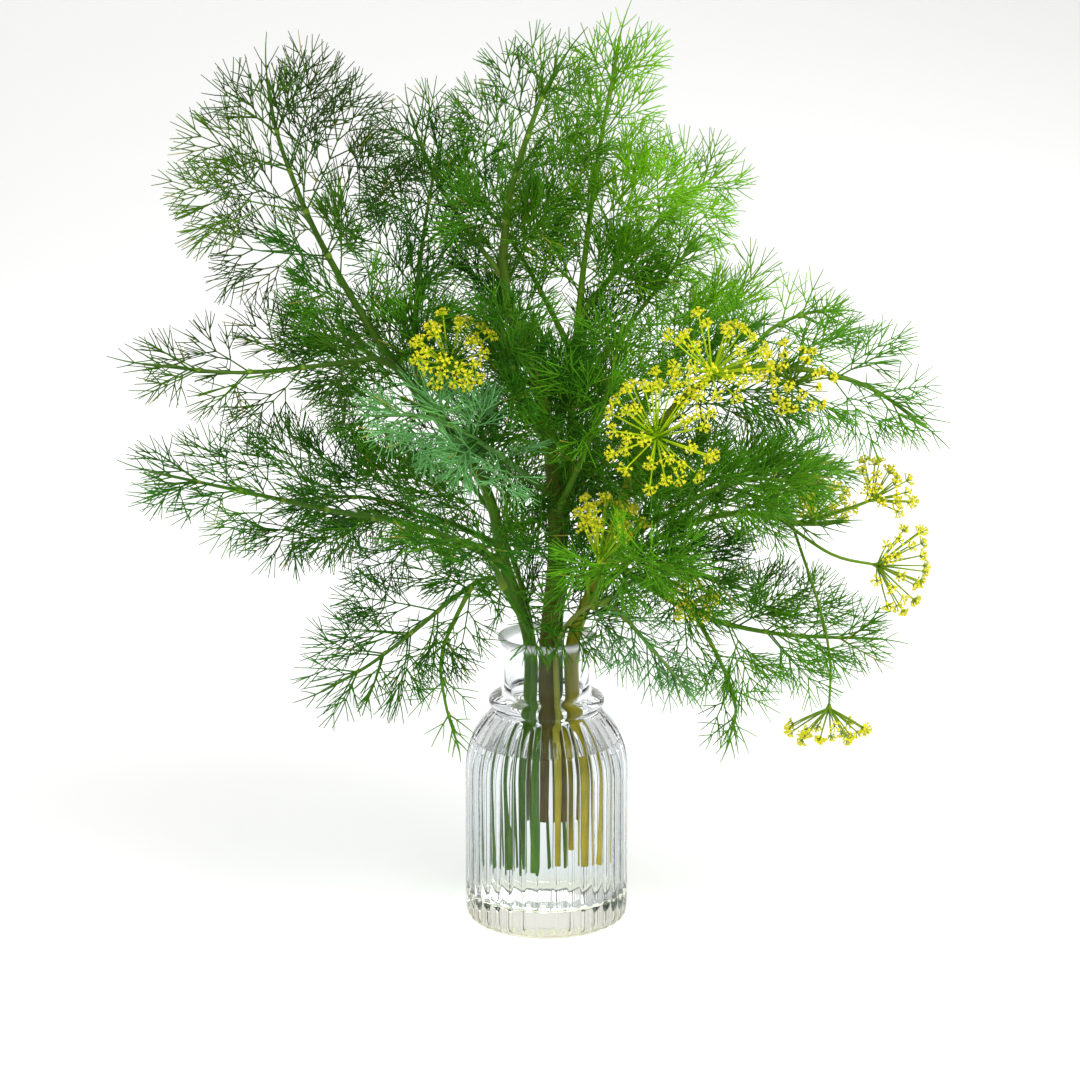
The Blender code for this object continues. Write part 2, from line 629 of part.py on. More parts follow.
def main():
    clear_scene()
    glass_bottle()
    thicket = Thicket()
    rods = {}
    skeletons = {}
    for owner, (name, limbs) in enumerate(LEAFY_STEMS.items()):
        skeletons[name] = limb_rods(limbs)
        rods[name] = []
        for index, (path, _, radii) in enumerate(skeletons[name]):
            thicket.add(path, radii, owner)
            sides = STEM_SIDES if index == 0 else LIMB_SIDES
            rods[name].append(rod(path, radii, sides, STEM_SPIN))
    stems = [limb_paths[0] for limb_paths in skeletons.values()]
    water([(path[:NECK_JOINT], radii[:NECK_JOINT]) for path, _, radii in stems])

    umbel_yellow = material("umbel_yellow", UMBEL_YELLOW, 0.6)
    for number, (name, umbel) in enumerate(UMBELS.items()):
        owner = 100 + number
        path, joints, _ = skeletons[umbel.stem][umbel.limb]
        root = point_at_joint(path, joints, umbel.joint)
        path, radii = umbel_stalk(thicket, owner, root, umbel)
        thicket.add(path, radii, owner)
        hub = path[-1]
        rods[name] = [rod(path, radii, LIMB_SIDES), umbel_hub(hub, (hub - path[-2]).normalized())]
        for index, (heading, reach) in enumerate(umbel_rays(hub, umbel, number)):
            found = settled(thicket, owner, hub, heading, reach + 1.5, 1.4, 50 * number + index)
            if not found:
                continue
            heading = found[0]
            reach = found[1] - 1.5
            tip = hub + heading * reach
            thicket.add([hub, tip], [0.4, 0.4], owner)
            thicket.add([tip - heading * BUD_SIZE, tip + heading * BUD_SIZE], [1.5, 1.5], owner)
            rods[name].append(budded_ray(hub, heading, reach))

    leaf_green = material("leaf_green", LEAF_GREEN, 0.5)
    for owner, (name, limbs) in enumerate(LEAFY_STEMS.items()):
        sprays = []
        for index, limb in enumerate(limbs):
            if limb.leaf:
                sprays += leaf_sprays(skeletons[name][index][0], limb.leaf, 1000 * owner + index)
        for root, direction, length, way, seed in sprays:
            found = settled(thicket, owner, root, direction, length, SPRAY_RADIUS, seed)
            if not found:
                continue
            direction, length = found
            tip = root + direction * length
            thicket.add([root, tip], [SPRAY_RADIUS] * 2, owner)
            find_needle = needle_finder(thicket, owner, length, seed)
            rods[name].append(comb(root, tip, SPRAY_RADIUS, NEEDLE_SHARES, find_needle))
        build_node(name, rods[name], leaf_green)
    for name in UMBELS:
        build_node(name, rods[name], umbel_yellow)


main()
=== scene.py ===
import json
import math
import random
from collections import namedtuple

import bmesh
import bpy
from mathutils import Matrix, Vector

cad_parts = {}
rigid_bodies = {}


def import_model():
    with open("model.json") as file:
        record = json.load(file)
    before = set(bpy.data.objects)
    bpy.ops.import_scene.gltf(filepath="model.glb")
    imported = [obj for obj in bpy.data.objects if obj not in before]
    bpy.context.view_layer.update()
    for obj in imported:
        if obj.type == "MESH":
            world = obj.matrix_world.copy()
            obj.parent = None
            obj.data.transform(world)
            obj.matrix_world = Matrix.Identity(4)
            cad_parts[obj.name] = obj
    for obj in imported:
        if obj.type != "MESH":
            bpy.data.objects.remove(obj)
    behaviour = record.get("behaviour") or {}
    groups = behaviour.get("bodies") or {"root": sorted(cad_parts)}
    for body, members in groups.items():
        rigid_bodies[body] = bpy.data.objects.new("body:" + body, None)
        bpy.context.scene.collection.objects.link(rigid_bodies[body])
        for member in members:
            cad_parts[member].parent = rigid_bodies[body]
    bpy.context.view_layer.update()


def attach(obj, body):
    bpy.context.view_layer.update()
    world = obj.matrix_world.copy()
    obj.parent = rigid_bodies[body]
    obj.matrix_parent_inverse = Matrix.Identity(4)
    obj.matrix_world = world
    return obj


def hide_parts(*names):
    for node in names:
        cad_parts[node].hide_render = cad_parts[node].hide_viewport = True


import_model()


# The bottle: clear pressed glass with a thick foot, upright ribs pressed into the wall and
# the shoulder, a smooth ring under the neck and a rolled lip.  It was pressed in one piece,
# so its ribs are slightly soft, and its thick foot shows a faint warm tint.

MM = 0.001                       # the tables below are in millimetres
BODY = "root"


class Value:
    """The output of a node; a difference or a product with it adds a Math node to its tree."""

    def __init__(self, graph, socket):
        self.graph = graph
        self.socket = socket

    def math(self, operation, *operands):
        inputs = dict(enumerate(operands))
        return self.graph.add("ShaderNodeMath", {"operation": operation}, inputs)

    def __sub__(self, other):
        return self.math("SUBTRACT", self, other)

    def __rsub__(self, other):
        return self.math("SUBTRACT", other, self)

    def __mul__(self, other):
        return self.math("MULTIPLY", self, other)

    def __rmul__(self, other):
        return self.math("MULTIPLY", other, self)


class Graph:
    """A node tree that nodes are added to by type, settings and socket values or links."""

    def __init__(self, tree):
        self.tree = tree

    def add(self, kind, settings=None, inputs=None, output=0):
        node = self.tree.nodes.new(kind)
        for key, value in (settings or {}).items():
            if key == "stops":
                self.set_stops(node.color_ramp, value)
            else:
                setattr(node, key, value)
        for key, value in (inputs or {}).items():
            self.feed(node.inputs[key], value)
        return Value(self, node.outputs[output])

    def set_stops(self, ramp, stops):
        while len(ramp.elements) < len(stops):
            ramp.elements.new(1.0)
        for element, (position, colour) in zip(ramp.elements, stops):
            element.position = position
            element.color = (*colour, 1.0)

    def feed(self, socket, value):
        if isinstance(value, Value):
            self.tree.links.new(value.socket, socket)
        else:
            socket.default_value = value


class Finish(Graph):
    """A Principled material; constants go straight onto its own sockets."""

    def __init__(self, name, constants):
        self.material = bpy.data.materials.new(name)
        self.material.use_nodes = True
        super().__init__(self.material.node_tree)
        self.shader = self.tree.nodes["Principled BSDF"]
        for socket, value in constants.items():
            self.shader.inputs[socket].default_value = value
        self.body = Value(self, self.shader.outputs[0])

    def paint(self, socket, value):
        self.feed(self.shader.inputs[socket], value)

    def coordinates(self):
        return self.add("ShaderNodeTexCoord", output="Object")

    def blend_body(self, share, skin):
        """The given share of the body's look comes from another shader."""
        self.body = self.add("ShaderNodeMixShader", inputs={0: share, 1: self.body, 2: skin})
        self.feed(self.tree.nodes["Material Output"].inputs["Surface"], self.body)

    def scatter_painted_highlight(self, share, colour):
        """A share of the light is scattered in the body instead of passing through it."""
        # Used only to paint a highlight: the scatter brightens glass that is really clear
        self.blend_body(share, self.add("ShaderNodeBsdfDiffuse", inputs={"Color": colour}))

    def let_lamps_through(self, tint):
        """Lamp light passes straight through the clear body, tinted, instead of stopping."""
        lamp = self.add("ShaderNodeLightPath", output="Is Shadow Ray")
        self.blend_body(lamp, self.add("ShaderNodeBsdfTransparent", inputs={"Color": tint}))

    def noise(self, scale, detail=2.0, stretch=(1.0, 1.0, 1.0)):
        placed = self.add("ShaderNodeMapping", inputs={0: self.coordinates(), "Scale": stretch})
        return self.add("ShaderNodeTexNoise", inputs={0: placed, "Scale": scale, "Detail": detail})

    def mix(self, factor, low, high, blend="MIX"):
        return self.add("ShaderNodeMix", {"data_type": "RGBA", "blend_type": blend},
                        {0: factor, 6: low, 7: high}, 2)

    def bump(self, height, strength, distance):
        normal = self.add("ShaderNodeBump",
                          inputs={"Height": height, "Strength": strength, "Distance": distance})
        self.paint("Normal", normal)


def geometry_tree(name, sockets):
    """An empty Geometry Nodes tree with the given inputs; gives its graph and input values."""
    tree = bpy.data.node_groups.new(name, "GeometryNodeTree")
    tree.interface.new_socket("Geometry", in_out="INPUT", socket_type="NodeSocketGeometry")
    for label, kind in sockets.items():
        tree.interface.new_socket(label, in_out="INPUT", socket_type=kind)
    tree.interface.new_socket("Geometry", in_out="OUTPUT", socket_type="NodeSocketGeometry")
    graph = Graph(tree)
    entry = tree.nodes.new("NodeGroupInput")
    return graph, {label: Value(graph, entry.outputs[label]) for label in ("Geometry", *sockets)}


def close_tree(graph, shape, finish):
    """Realizes what the tree made, gives it its material and sends it out."""
    solid = graph.add("GeometryNodeRealizeInstances", inputs={0: shape})
    dressed = graph.add("GeometryNodeSetMaterial", inputs={0: solid, "Material": finish})
    leave = graph.tree.nodes.new("NodeGroupOutput")
    graph.feed(leave.inputs[0], dressed)


def grown(name, mesh, tree, inputs):
    """An object whose plain mesh is what the tree makes of the given mesh."""
    piece = bpy.data.objects.new(name, mesh)
    bpy.context.collection.objects.link(piece)
    rule = piece.modifiers.new("rule", "NODES")
    rule.node_group = tree
    for item in tree.interface.items_tree:
        if item.in_out == "INPUT" and item.name in inputs:
            rule[item.identifier] = inputs[item.name]
    bpy.context.view_layer.update()
    seen = piece.evaluated_get(bpy.context.evaluated_depsgraph_get())
    piece.data = bpy.data.meshes.new_from_object(seen)
    piece.modifiers.clear()
    return piece


def belongs(piece, slot, *nodes):
    """Every piece stands with the bottle and stands for its nodes; its slot is not used."""
    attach(piece, BODY)
    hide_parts(*nodes)


def between(values, joint):
    """The value of a smooth curve through a list, counted in its points."""
    index = min(int(joint), len(values) - 2)
    t = joint - index
    p1, p2 = values[index], values[index + 1]
    p0 = values[index - 1] if index > 0 else p1 * 2.0 - p2
    p3 = values[index + 2] if index + 2 < len(values) else p2 * 2.0 - p1
    return 0.5 * (p1 * 2.0 + (p2 - p0) * t + (p0 * 2.0 - p1 * 5.0 + p2 * 4.0 - p3) * t * t
                  + (p1 * 3.0 - p0 - p2 * 3.0 + p3) * t * t * t)


RINGS_PER_POINT = 2
NARROWEST_RING = 0.05


def turned_mesh(name, profile, around):
    """A closed turned skin; the profile runs from pole to pole as radius, height, share."""
    profile = [Vector(point) for point in profile]
    steps = (len(profile) - 1) * RINGS_PER_POINT
    points = [between(profile, step / RINGS_PER_POINT) for step in range(1, steps)]
    corners = [(0.0, 0.0, profile[0].y * MM)]
    shares = [0.0]
    for radius, height, share in points:
        radius = max(radius, NARROWEST_RING)
        for column in range(around):
            angle = 2.0 * math.pi * column / around
            corners.append((radius * math.cos(angle) * MM, radius * math.sin(angle) * MM,
                            height * MM))
            shares.append(min(max(share, 0.0), 1.0))
    corners.append((0.0, 0.0, profile[-1].y * MM))
    shares.append(0.0)
    faces = []
    for column in range(around):
        after = (column + 1) % around
        faces.append((0, 1 + after, 1 + column))
        for level in range(len(points) - 1):
            low = 1 + level * around
            faces.append((low + column, low + after, low + around + after, low + around + column))
        top = 1 + (len(points) - 1) * around
        faces.append((top + column, top + after, len(corners) - 1))
    mesh = bpy.data.meshes.new(name)
    mesh.from_pydata(corners, [], faces)
    mesh.attributes.new("rib_share", "FLOAT", "POINT").data.foreach_set("value", shares)
    return mesh


RIBS = 36
RIB_DEPTH = 1.15
POINTS_PER_RIB = 10
# Radius, height and how fully the ribs stand, from under the foot over the lip to the floor inside
OUTER_WALL = [
    (0.0, 0.9, 0), (12.0, 0.9, 0), (22.0, 0.7, 0), (28.0, 0.15, 0), (31.0, 0.0, 0), (34.2, 0.3, 0.1),
    (36.2, 2.0, 0.5), (36.9, 5.0, 1), (37.0, 12.0, 1), (37.0, 40.0, 1), (37.0, 62.0, 1),
    (37.0, 70.0, 1), (36.5, 77.0, 1), (34.7, 84.0, 1), (31.2, 90.6, 1), (27.2, 95.6, 0.7),
    (24.4, 97.9, 0.1), (24.2, 99.1, 0), (25.6, 100.4, 0), (26.3, 102.4, 0), (25.7, 104.4, 0),
    (23.4, 105.6, 0), (20.7, 106.6, 0), (19.5, 109.4, 0), (19.2, 114.0, 0), (19.3, 122.0, 0),
    (19.9, 127.2, 0), (21.2, 130.2, 0), (22.2, 131.9, 0), (21.9, 132.9, 0), (20.9, 133.2, 0),
]
INNER_WALL = [
    (19.6, 132.4, 0), (18.2, 129.8, 0), (17.3, 126.0, 0), (17.0, 116.0, 0), (17.0, 106.0, 0),
    (17.9, 100.4, 0), (21.4, 95.6, 0), (26.4, 90.6, 0), (30.6, 84.0, 0), (33.0, 77.0, 0),
    (33.7, 70.0, 0), (33.8, 62.0, 0), (33.8, 40.0, 0), (33.8, 20.0, 0), (33.3, 15.0, 0),
    (31.2, 12.4, 0), (27.0, 11.3, 0), (14.0, 11.8, 0), (0.0, 12.2, 0),
]

press, given = geometry_tree("pressed_ribs", {"Ribs": "NodeSocketFloat", "Depth": "NodeSocketFloat",
                                              "Finish": "NodeSocketMaterial"})
spot = press.add("GeometryNodeInputPosition")
flat = press.add("ShaderNodeVectorMath", {"operation": "MULTIPLY"}, {0: spot, 1: (1.0, 1.0, 0.0)})
outward = press.add("ShaderNodeVectorMath", {"operation": "NORMALIZE"}, {0: flat})
away_x = press.add("ShaderNodeSeparateXYZ", inputs={0: spot}, output=0)
away_y = press.add("ShaderNodeSeparateXYZ", inputs={0: spot}, output=1)
turn = away_y.math("ARCTAN2", away_y, away_x)
wave = turn.math("COSINE", turn * given["Ribs"] * 0.5)
groove = 1.0 - wave.math("ABSOLUTE", wave)
share = press.add("GeometryNodeInputNamedAttribute", {"data_type": "FLOAT"}, {0: "rib_share"})
inward = press.add("ShaderNodeVectorMath", {"operation": "SCALE"},
                   {0: outward, "Scale": groove * share * given["Depth"] * -1.0})
pressed = press.add("GeometryNodeSetPosition", inputs={0: given["Geometry"], "Offset": inward})
smooth = press.add("GeometryNodeSetShadeSmooth", inputs={0: pressed})
close_tree(press, smooth, given["Finish"])

FOOT_TOP = 16.0                  # the warm tint of the foot has faded out here
LIP_START = 128.5                # the painted highlight on the lip starts here
LIP_FULLEST = 131.0
LIP_PAINTED_HIGHLIGHT_SHARE = 0.5
CLEAR_TINT = (0.930, 0.950, 0.965, 1.0)
FOOT_TINT = (0.93, 0.90, 0.66, 1.0)

glass = Finish("clear_pressed_glass", {"Transmission Weight": 1.0, "IOR": 1.48, "Roughness": 0.015,
                                       "Specular Tint": (0.24, 0.26, 0.26, 1.0)})
height = glass.add("ShaderNodeSeparateXYZ", inputs={0: glass.coordinates()}, output=2)
foot = glass.add("ShaderNodeMapRange", {"interpolation_type": "SMOOTHSTEP"},
                 {0: height, 1: 0.0, 2: FOOT_TOP * MM, 3: 1.0, 4: 0.0})
glass.paint("Base Color", glass.mix(foot, CLEAR_TINT, FOOT_TINT))
# Painted highlight: a share of pale diffuse scatter makes the rolled lip look milky and bright, unlike the
# clear wall, in place of the white highlight that light gives it
lip_painted_highlight = glass.add("ShaderNodeMapRange", inputs={0: height, 1: LIP_START * MM, 2: LIP_FULLEST * MM,
                                              3: 0.0, 4: LIP_PAINTED_HIGHLIGHT_SHARE})
glass.scatter_painted_highlight(lip_painted_highlight, CLEAR_TINT)
glass.bump(glass.noise(90.0, 3.0), 0.12, 0.0004)
glass.let_lamps_through((0.93, 0.96, 0.93, 1.0))

bottle = grown("glass_bottle_ribbed",
               turned_mesh("bottle_skin", OUTER_WALL + INNER_WALL, RIBS * POINTS_PER_RIB),
               press.tree, {"Ribs": float(RIBS), "Depth": RIB_DEPTH * MM, "Finish": glass.material})
belongs(bottle, "bottle_glass", "glass_bottle")


# The water: fills the bottle to the foot of the shoulder, clings to the wall with a small
# raised edge, and wets the glass, so its skin lies a hair inside the glass's inner face.

WATER_HEIGHT = 82.6
WATER_COLUMNS = 96
WATER_SKIN = [
    (0.0, 12.1, 0), (14.0, 11.7, 0), (27.0, 11.2, 0), (31.25, 12.3, 0), (33.35, 14.95, 0),
    (33.86, 20.0, 0), (33.86, 40.0, 0), (33.86, 62.0, 0), (33.76, 70.0, 0), (33.06, 77.0, 0),
    (31.4, 82.2, 0), (30.95, 83.7, 0), (30.3, 83.5, 0), (29.4, 82.9, 0), (27.5, WATER_HEIGHT, 0),
    (15.0, WATER_HEIGHT, 0), (0.0, WATER_HEIGHT, 0),
]

still_water = Finish("still_water", {"Transmission Weight": 1.0, "IOR": 1.333, "Roughness": 0.0,
                                     "Specular Tint": (0.5, 0.5, 0.5, 1.0),
                                     "Base Color": (0.985, 0.995, 0.985, 1.0)})
still_water.bump(still_water.noise(14.0, 1.0), 0.05, 0.001)
still_water.let_lamps_through((0.97, 0.99, 0.97, 1.0))
water = grown("water_body", turned_mesh("water_skin", WATER_SKIN, WATER_COLUMNS), press.tree,
              {"Ribs": float(RIBS), "Depth": 0.0, "Finish": still_water.material})
belongs(water, "clear_water", "water")


# The leafy stems: cut dill stems that stand in the water and carry feathery leaves.  Each
# grew as one piece, from a striped juicy stem through leaf stalks to threads finer than a
# millimetre that fork two or three times.  They are held by nothing but the neck.

Limb = namedtuple("Limb", "parent joint points thick leaf")
# Close shrinks the millimetres between pairs; rolled counts the leaflets out of the leaf's plane
Leaf = namedtuple("Leaf", "start pairs reach faces tint close rolled", defaults=(0.8, 1))

FRONT = (0.0, -1.0, 0.35)
FRONT_UP = (0.0, -0.7, 0.75)
UP = (0.0, -0.2, 1.0)
BACK_UP = (0.0, 0.7, 0.75)
# Leaf tints: the deep green is partly the leaves' own darker green and partly painted shade, given to
# leaves on the shaded left, front and inside of the bunch; the fresh green is partly their own
# yellow-green and partly painted light, given to leaves on the lit top and right.
OLIVE = (0.029, 0.071, 0.009)
DEEP_GREEN_AND_SHADE = (0.023, 0.113, 0.006)
GRASS = (0.048, 0.158, 0.008)
MID = (0.070, 0.238, 0.008)
FRESH_GREEN_AND_LIGHT = (0.150, 0.385, 0.006)
BLUISH = (0.122, 0.335, 0.112)
STEM_GREEN = (0.050, 0.150, 0.005)
STEM_OLIVE = (0.400, 0.310, 0.014)
STEM_BROWN = (0.100, 0.062, 0.011)
JOINT_GREEN = (0.220, 0.330, 0.030)

# The leaf tints in this table put painted shade on left and front leaves and painted light on top and
# right ones.
LEAFY_STEMS = {
    "leafy_stem_left": (STEM_GREEN, [
        Limb(None, 0, [(-17.8, 5.4, 24), (-13, 3, 60), (-8, -1, 100), (-8, -3, 132), (-19, -6, 168),
                       (-25, -9, 197), (-36, -11, 218), (-72, -14, 268), (-98, -17, 314),
                       (-111, -19, 346), (-117, -20, 366), (-120, -20, 386)],
             (3.9, 0.7), Leaf(0.79, 4, 80, FRONT, OLIVE, 1.0)),
        Limb(0, 6.3, [(-68, -22, 262), (-93, -30, 263), (-133, -38, 261), (-174, -44, 266)],
             (1.5, 0.6), Leaf(0.18, 5, 64, FRONT_UP, OLIVE, 0.96)),
        Limb(0, 4.0, [(-42, -14, 181), (-66, -19, 190), (-93, -24, 196), (-128, -29, 205),
                      (-172, -34, 216)],
             (1.7, 0.6), Leaf(0.25, 6, 68, FRONT_UP, DEEP_GREEN_AND_SHADE, 0.88)),
        Limb(0, 6.6, [(-57, -6, 290), (-53, 0, 322), (-48, 4, 350)],
             (1.3, 0.6), Leaf(0.2, 4, 58, FRONT, DEEP_GREEN_AND_SHADE, 0.8)),
        Limb(0, 5.4, [(-52, 24, 236), (-84, 50, 254), (-118, 68, 262)],
             (1.5, 0.6), Leaf(0.3, 5, 64, BACK_UP, MID)),
    ]),
    "leafy_stem_centre": (STEM_BROWN, [
        Limb(None, 0, [(3.6, -7.2, 50), (2.3, -6.1, 76), (1, -5, 100), (1, -5, 132), (4, -5, 168),
                       (3, -5, 205), (-3, -4, 245), (-18, -3, 292), (-17, -3, 327),
                       (-11, -3, 351), (-2, -3, 376), (8, -3, 394)],
             (5.35, 0.7), Leaf(0.78, 4, 64, FRONT, GRASS)),
        Limb(0, 5.2, [(-6, -28, 240), (-16, -46, 268), (-22, -56, 296)],
             (1.6, 0.6), Leaf(0.3, 4, 58, FRONT, DEEP_GREEN_AND_SHADE, 0.7, 3)),
        Limb(0, 4.6, [(16, -28, 222), (26, -42, 252), (32, -50, 284)],
             (1.6, 0.6), Leaf(0.3, 5, 60, FRONT, MID, 0.7, 2)),
        Limb(0, 4.8, [(-22, -40, 226), (-48, -62, 246), (-74, -76, 250)],
             (1.6, 0.6), Leaf(0.35, 4, 56, FRONT_UP, BLUISH, 0.66, 3)),
        Limb(0, 7.1, [(-36, 6, 318), (-52, 14, 344), (-60, 18, 366)],
             (1.2, 0.6), Leaf(0.25, 4, 56, FRONT, DEEP_GREEN_AND_SHADE)),
    ]),
    "leafy_stem_back": (STEM_GREEN, [
        Limb(None, 0, [(-4.9, 15.4, 22), (1, 12, 60), (5, 7, 100), (5, 7, 132), (8, 12, 180),
                       (11, 14, 230), (14, 15, 275), (19, 16, 320), (24, 17, 355),
                       (29, 18, 382), (32, 18, 400)],
             (3.1, 0.7), Leaf(0.70, 5, 68, FRONT, FRESH_GREEN_AND_LIGHT, 0.74, 2)),
        Limb(0, 5.2, [(34, 10, 270), (52, 6, 294), (66, 4, 312)],
             (1.4, 0.6), Leaf(0.3, 5, 46, FRONT, MID)),
        Limb(0, 4.2, [(6, 46, 222), (-2, 76, 246), (-10, 100, 258)],
             (1.6, 0.6), Leaf(0.3, 5, 66, BACK_UP, MID)),
        Limb(0, 5.6, [(-10, 42, 296), (-30, 60, 322), (-46, 72, 342)],
             (1.4, 0.6), Leaf(0.3, 5, 60, (0, 1, 0.3), MID)),
        Limb(0, 6.0, [(40, 44, 302), (64, 62, 322), (82, 74, 334)],
             (1.4, 0.6), Leaf(0.3, 5, 60, (0.3, 1, 0.3), FRESH_GREEN_AND_LIGHT)),
    ]),
    "leafy_stem_right_flowering": (STEM_OLIVE, [
        Limb(None, 0, [(18.1, -5.7, 28), (16, -5, 60), (12, -3.6, 100), (12, -3.6, 132),
                       (24, -9, 165), (34, -14, 200), (47, -18, 230), (73, -22, 256),
                       (108, -24, 260), (140, -24, 252), (166, -24, 234)],
             (4.1, 0.7), Leaf(0.72, 4, 60, FRONT_UP, MID)),
        Limb(0, 4.2, [(52, -30, 196), (84, -42, 214), (118, -48, 214)],
             (1.6, 0.6), Leaf(0.3, 5, 64, UP, MID, 0.72, 2)),
        Limb(0, 7.3, [(98, -8, 274), (116, 2, 280), (132, 8, 280)],
             (1.2, 0.6), Leaf(0.3, 4, 36, FRONT, FRESH_GREEN_AND_LIGHT)),
        Limb(0, 5.3, [(46, 22, 240), (72, 44, 266), (98, 58, 280)],
             (1.5, 0.6), Leaf(0.3, 5, 64, BACK_UP, FRESH_GREEN_AND_LIGHT)),
    ]),
    "leafy_stem_right_low": (STEM_OLIVE, [
        Limb(None, 0, [(13.4, 9.9, 32), (14, 8, 60), (12, 6, 100), (12, 6, 132), (29, 4, 158),
                       (54, 1, 180), (86, -2, 190), (114, -6, 186), (132, -9, 188)],
             (2.6, 1.0), Leaf(0.75, 3, 40, UP, MID)),
        Limb(0, 4.2, [(66, -10, 146), (102, -16, 138), (148, -18, 136)],
             (1.6, 0.6), Leaf(0.28, 5, 58, FRONT_UP, MID, 0.7, 2)),
        Limb(1, 1.0, [(78, -26, 126), (84, -32, 108), (80, -34, 90)],
             (1.1, 0.5), Leaf(0.35, 3, 32, FRONT, MID)),
        Limb(0, 5.1, [(80, 30, 194), (106, 52, 200), (130, 66, 198)],
             (1.5, 0.6), Leaf(0.3, 5, 60, UP, MID)),
    ]),
    "leafy_stem_front_left": (STEM_GREEN, [
        Limb(None, 0, [(-6, -14.7, 27), (-6, -13, 60), (-6, -11.5, 100), (-6, -12, 132),
                       (-14, -18, 150), (-24, -25, 166), (-40, -34, 160), (-58, -44, 147),
                       (-78, -54, 134), (-98, -60, 124)],
             (2.0, 0.6), Leaf(0.66, 5, 56, FRONT_UP, DEEP_GREEN_AND_SHADE)),
        Limb(0, 5.6, [(-46, -37, 136), (-45, -40, 114), (-39, -41, 92)],
             (1.0, 0.5), Leaf(0.35, 3, 28, FRONT, MID)),
        Limb(0, 4.6, [(-26, -50, 184), (-38, -76, 196), (-52, -98, 198)],
             (1.4, 0.6), Leaf(0.3, 5, 58, UP, DEEP_GREEN_AND_SHADE, 0.95, 0)),
    ]),
    "leafy_stem_front_right": (STEM_OLIVE, [
        Limb(None, 0, [(7.7, -18.2, 31), (7, -16, 60), (5, -12.5, 100), (5, -13, 132),
                       (17, -24, 152), (30, -33, 154), (46, -40, 138), (64, -46, 118)],
             (1.9, 0.6), Leaf(0.68, 4, 40, FRONT_UP, BLUISH, 0.7, 3)),
        Limb(0, 4.3, [(26, -52, 178), (38, -76, 188), (54, -98, 186)],
             (1.4, 0.6), Leaf(0.3, 5, 58, UP, MID)),
        Limb(0, 4.6, [(44, -40, 172), (62, -54, 176), (84, -66, 172)],
             (1.3, 0.6), Leaf(0.3, 4, 50, FRONT_UP, DEEP_GREEN_AND_SHADE, 0.7, 2)),
    ]),
    "leafy_stem_back_low": (STEM_GREEN, [
        Limb(None, 0, [(-12, 16, 18), (-10, 13, 60), (-7, 10, 100), (-7, 10, 132), (-14, 24, 158),
                       (-26, 44, 180), (-42, 68, 192), (-60, 94, 192)],
             (2.2, 0.6), Leaf(0.6, 5, 64, UP, MID)),
        Limb(0, 4.3, [(-48, 34, 178), (-82, 44, 186), (-116, 50, 184)],
             (1.5, 0.6), Leaf(0.3, 5, 64, UP, DEEP_GREEN_AND_SHADE)),
        Limb(0, 4.6, [(8, 54, 178), (34, 78, 186), (58, 98, 182)],
             (1.5, 0.6), Leaf(0.3, 5, 64, UP, MID)),
    ]),
}


class Strands:
    """Lines with a radius and a colour at every point, that become round stems and threads."""

    def __init__(self):
        self.corners = []
        self.edges = []
        self.radii = []
        self.tints = []

    def add(self, points, radii, tints):
        first = len(self.corners)
        self.corners.extend(point * MM for point in points)
        self.radii.extend(radius * MM for radius in radii)
        for tint in tints:
            self.tints.extend((*tint, 1.0))
        self.edges.extend((first + index, first + index + 1) for index in range(len(points) - 1))

    def taper(self, points, root_radius, tip_radius, root_tint, tip_tint):
        shares = [index / (len(points) - 1) for index in range(len(points))]
        self.add(points, [root_radius + (tip_radius - root_radius) * share for share in shares],
                 [mixed(root_tint, tip_tint, share) for share in shares])

    def mesh(self, name):
        mesh = bpy.data.meshes.new(name)
        mesh.from_pydata(self.corners, self.edges, [])
        mesh.attributes.new("thickness", "FLOAT", "POINT").data.foreach_set("value", self.radii)
        mesh.attributes.new("tint", "FLOAT_COLOR", "POINT").data.foreach_set("color", self.tints)
        return mesh


def mixed(low, high, share):
    return tuple(a + (b - a) * share for a, b in zip(low, high))


rounding, given = geometry_tree("rounded_strands", {"Sides": "NodeSocketInt",
                                                    "Finish": "NodeSocketMaterial"})
line = rounding.add("GeometryNodeMeshToCurve", inputs={0: given["Geometry"]})
run = rounding.add("GeometryNodeSplineParameter", output="Length")
line = rounding.add("GeometryNodeStoreNamedAttribute", {"data_type": "FLOAT", "domain": "POINT"},
                    {0: line, "Name": "along", "Value": run})
girth = rounding.add("GeometryNodeInputNamedAttribute", {"data_type": "FLOAT"}, {0: "thickness"})
section = rounding.add("GeometryNodeCurvePrimitiveCircle", {"mode": "RADIUS"},
                       {"Resolution": given["Sides"], "Radius": 1.0})
section = rounding.add("GeometryNodeStoreNamedAttribute", {"data_type": "FLOAT_VECTOR", "domain": "POINT"},
                       {0: section, "Name": "around",
                        "Value": rounding.add("GeometryNodeInputPosition")})
tube = rounding.add("GeometryNodeCurveToMesh",
                    inputs={0: line, 1: section, "Scale": girth, "Fill Caps": True})
tube = rounding.add("GeometryNodeSetShadeSmooth", inputs={0: tube})
close_tree(rounding, tube, given["Finish"])


# The light patch colour is partly the strands' own lighter tone and partly painted highlight.
PATCH_DARK = (0.58, 0.62, 0.58, 1.0)
PATCH_LIGHT_AND_HIGHLIGHT = (1.70, 1.60, 1.50, 1.0)
RIDGE_PALE = (0.17, 0.26, 0.02, 1.0)


def mottled_tint(finish, scale):
    """The strand's own colour, lighter and darker in soft patches; the lighter patches are partly its own
    tone and partly painted highlight.
    """
    tint = finish.add("ShaderNodeVertexColor", {"layer_name": "tint"})
    light = finish.mix(finish.noise(scale, 3.0), PATCH_DARK, PATCH_LIGHT_AND_HIGHLIGHT)
    return finish.mix(1.0, tint, light, "MULTIPLY")


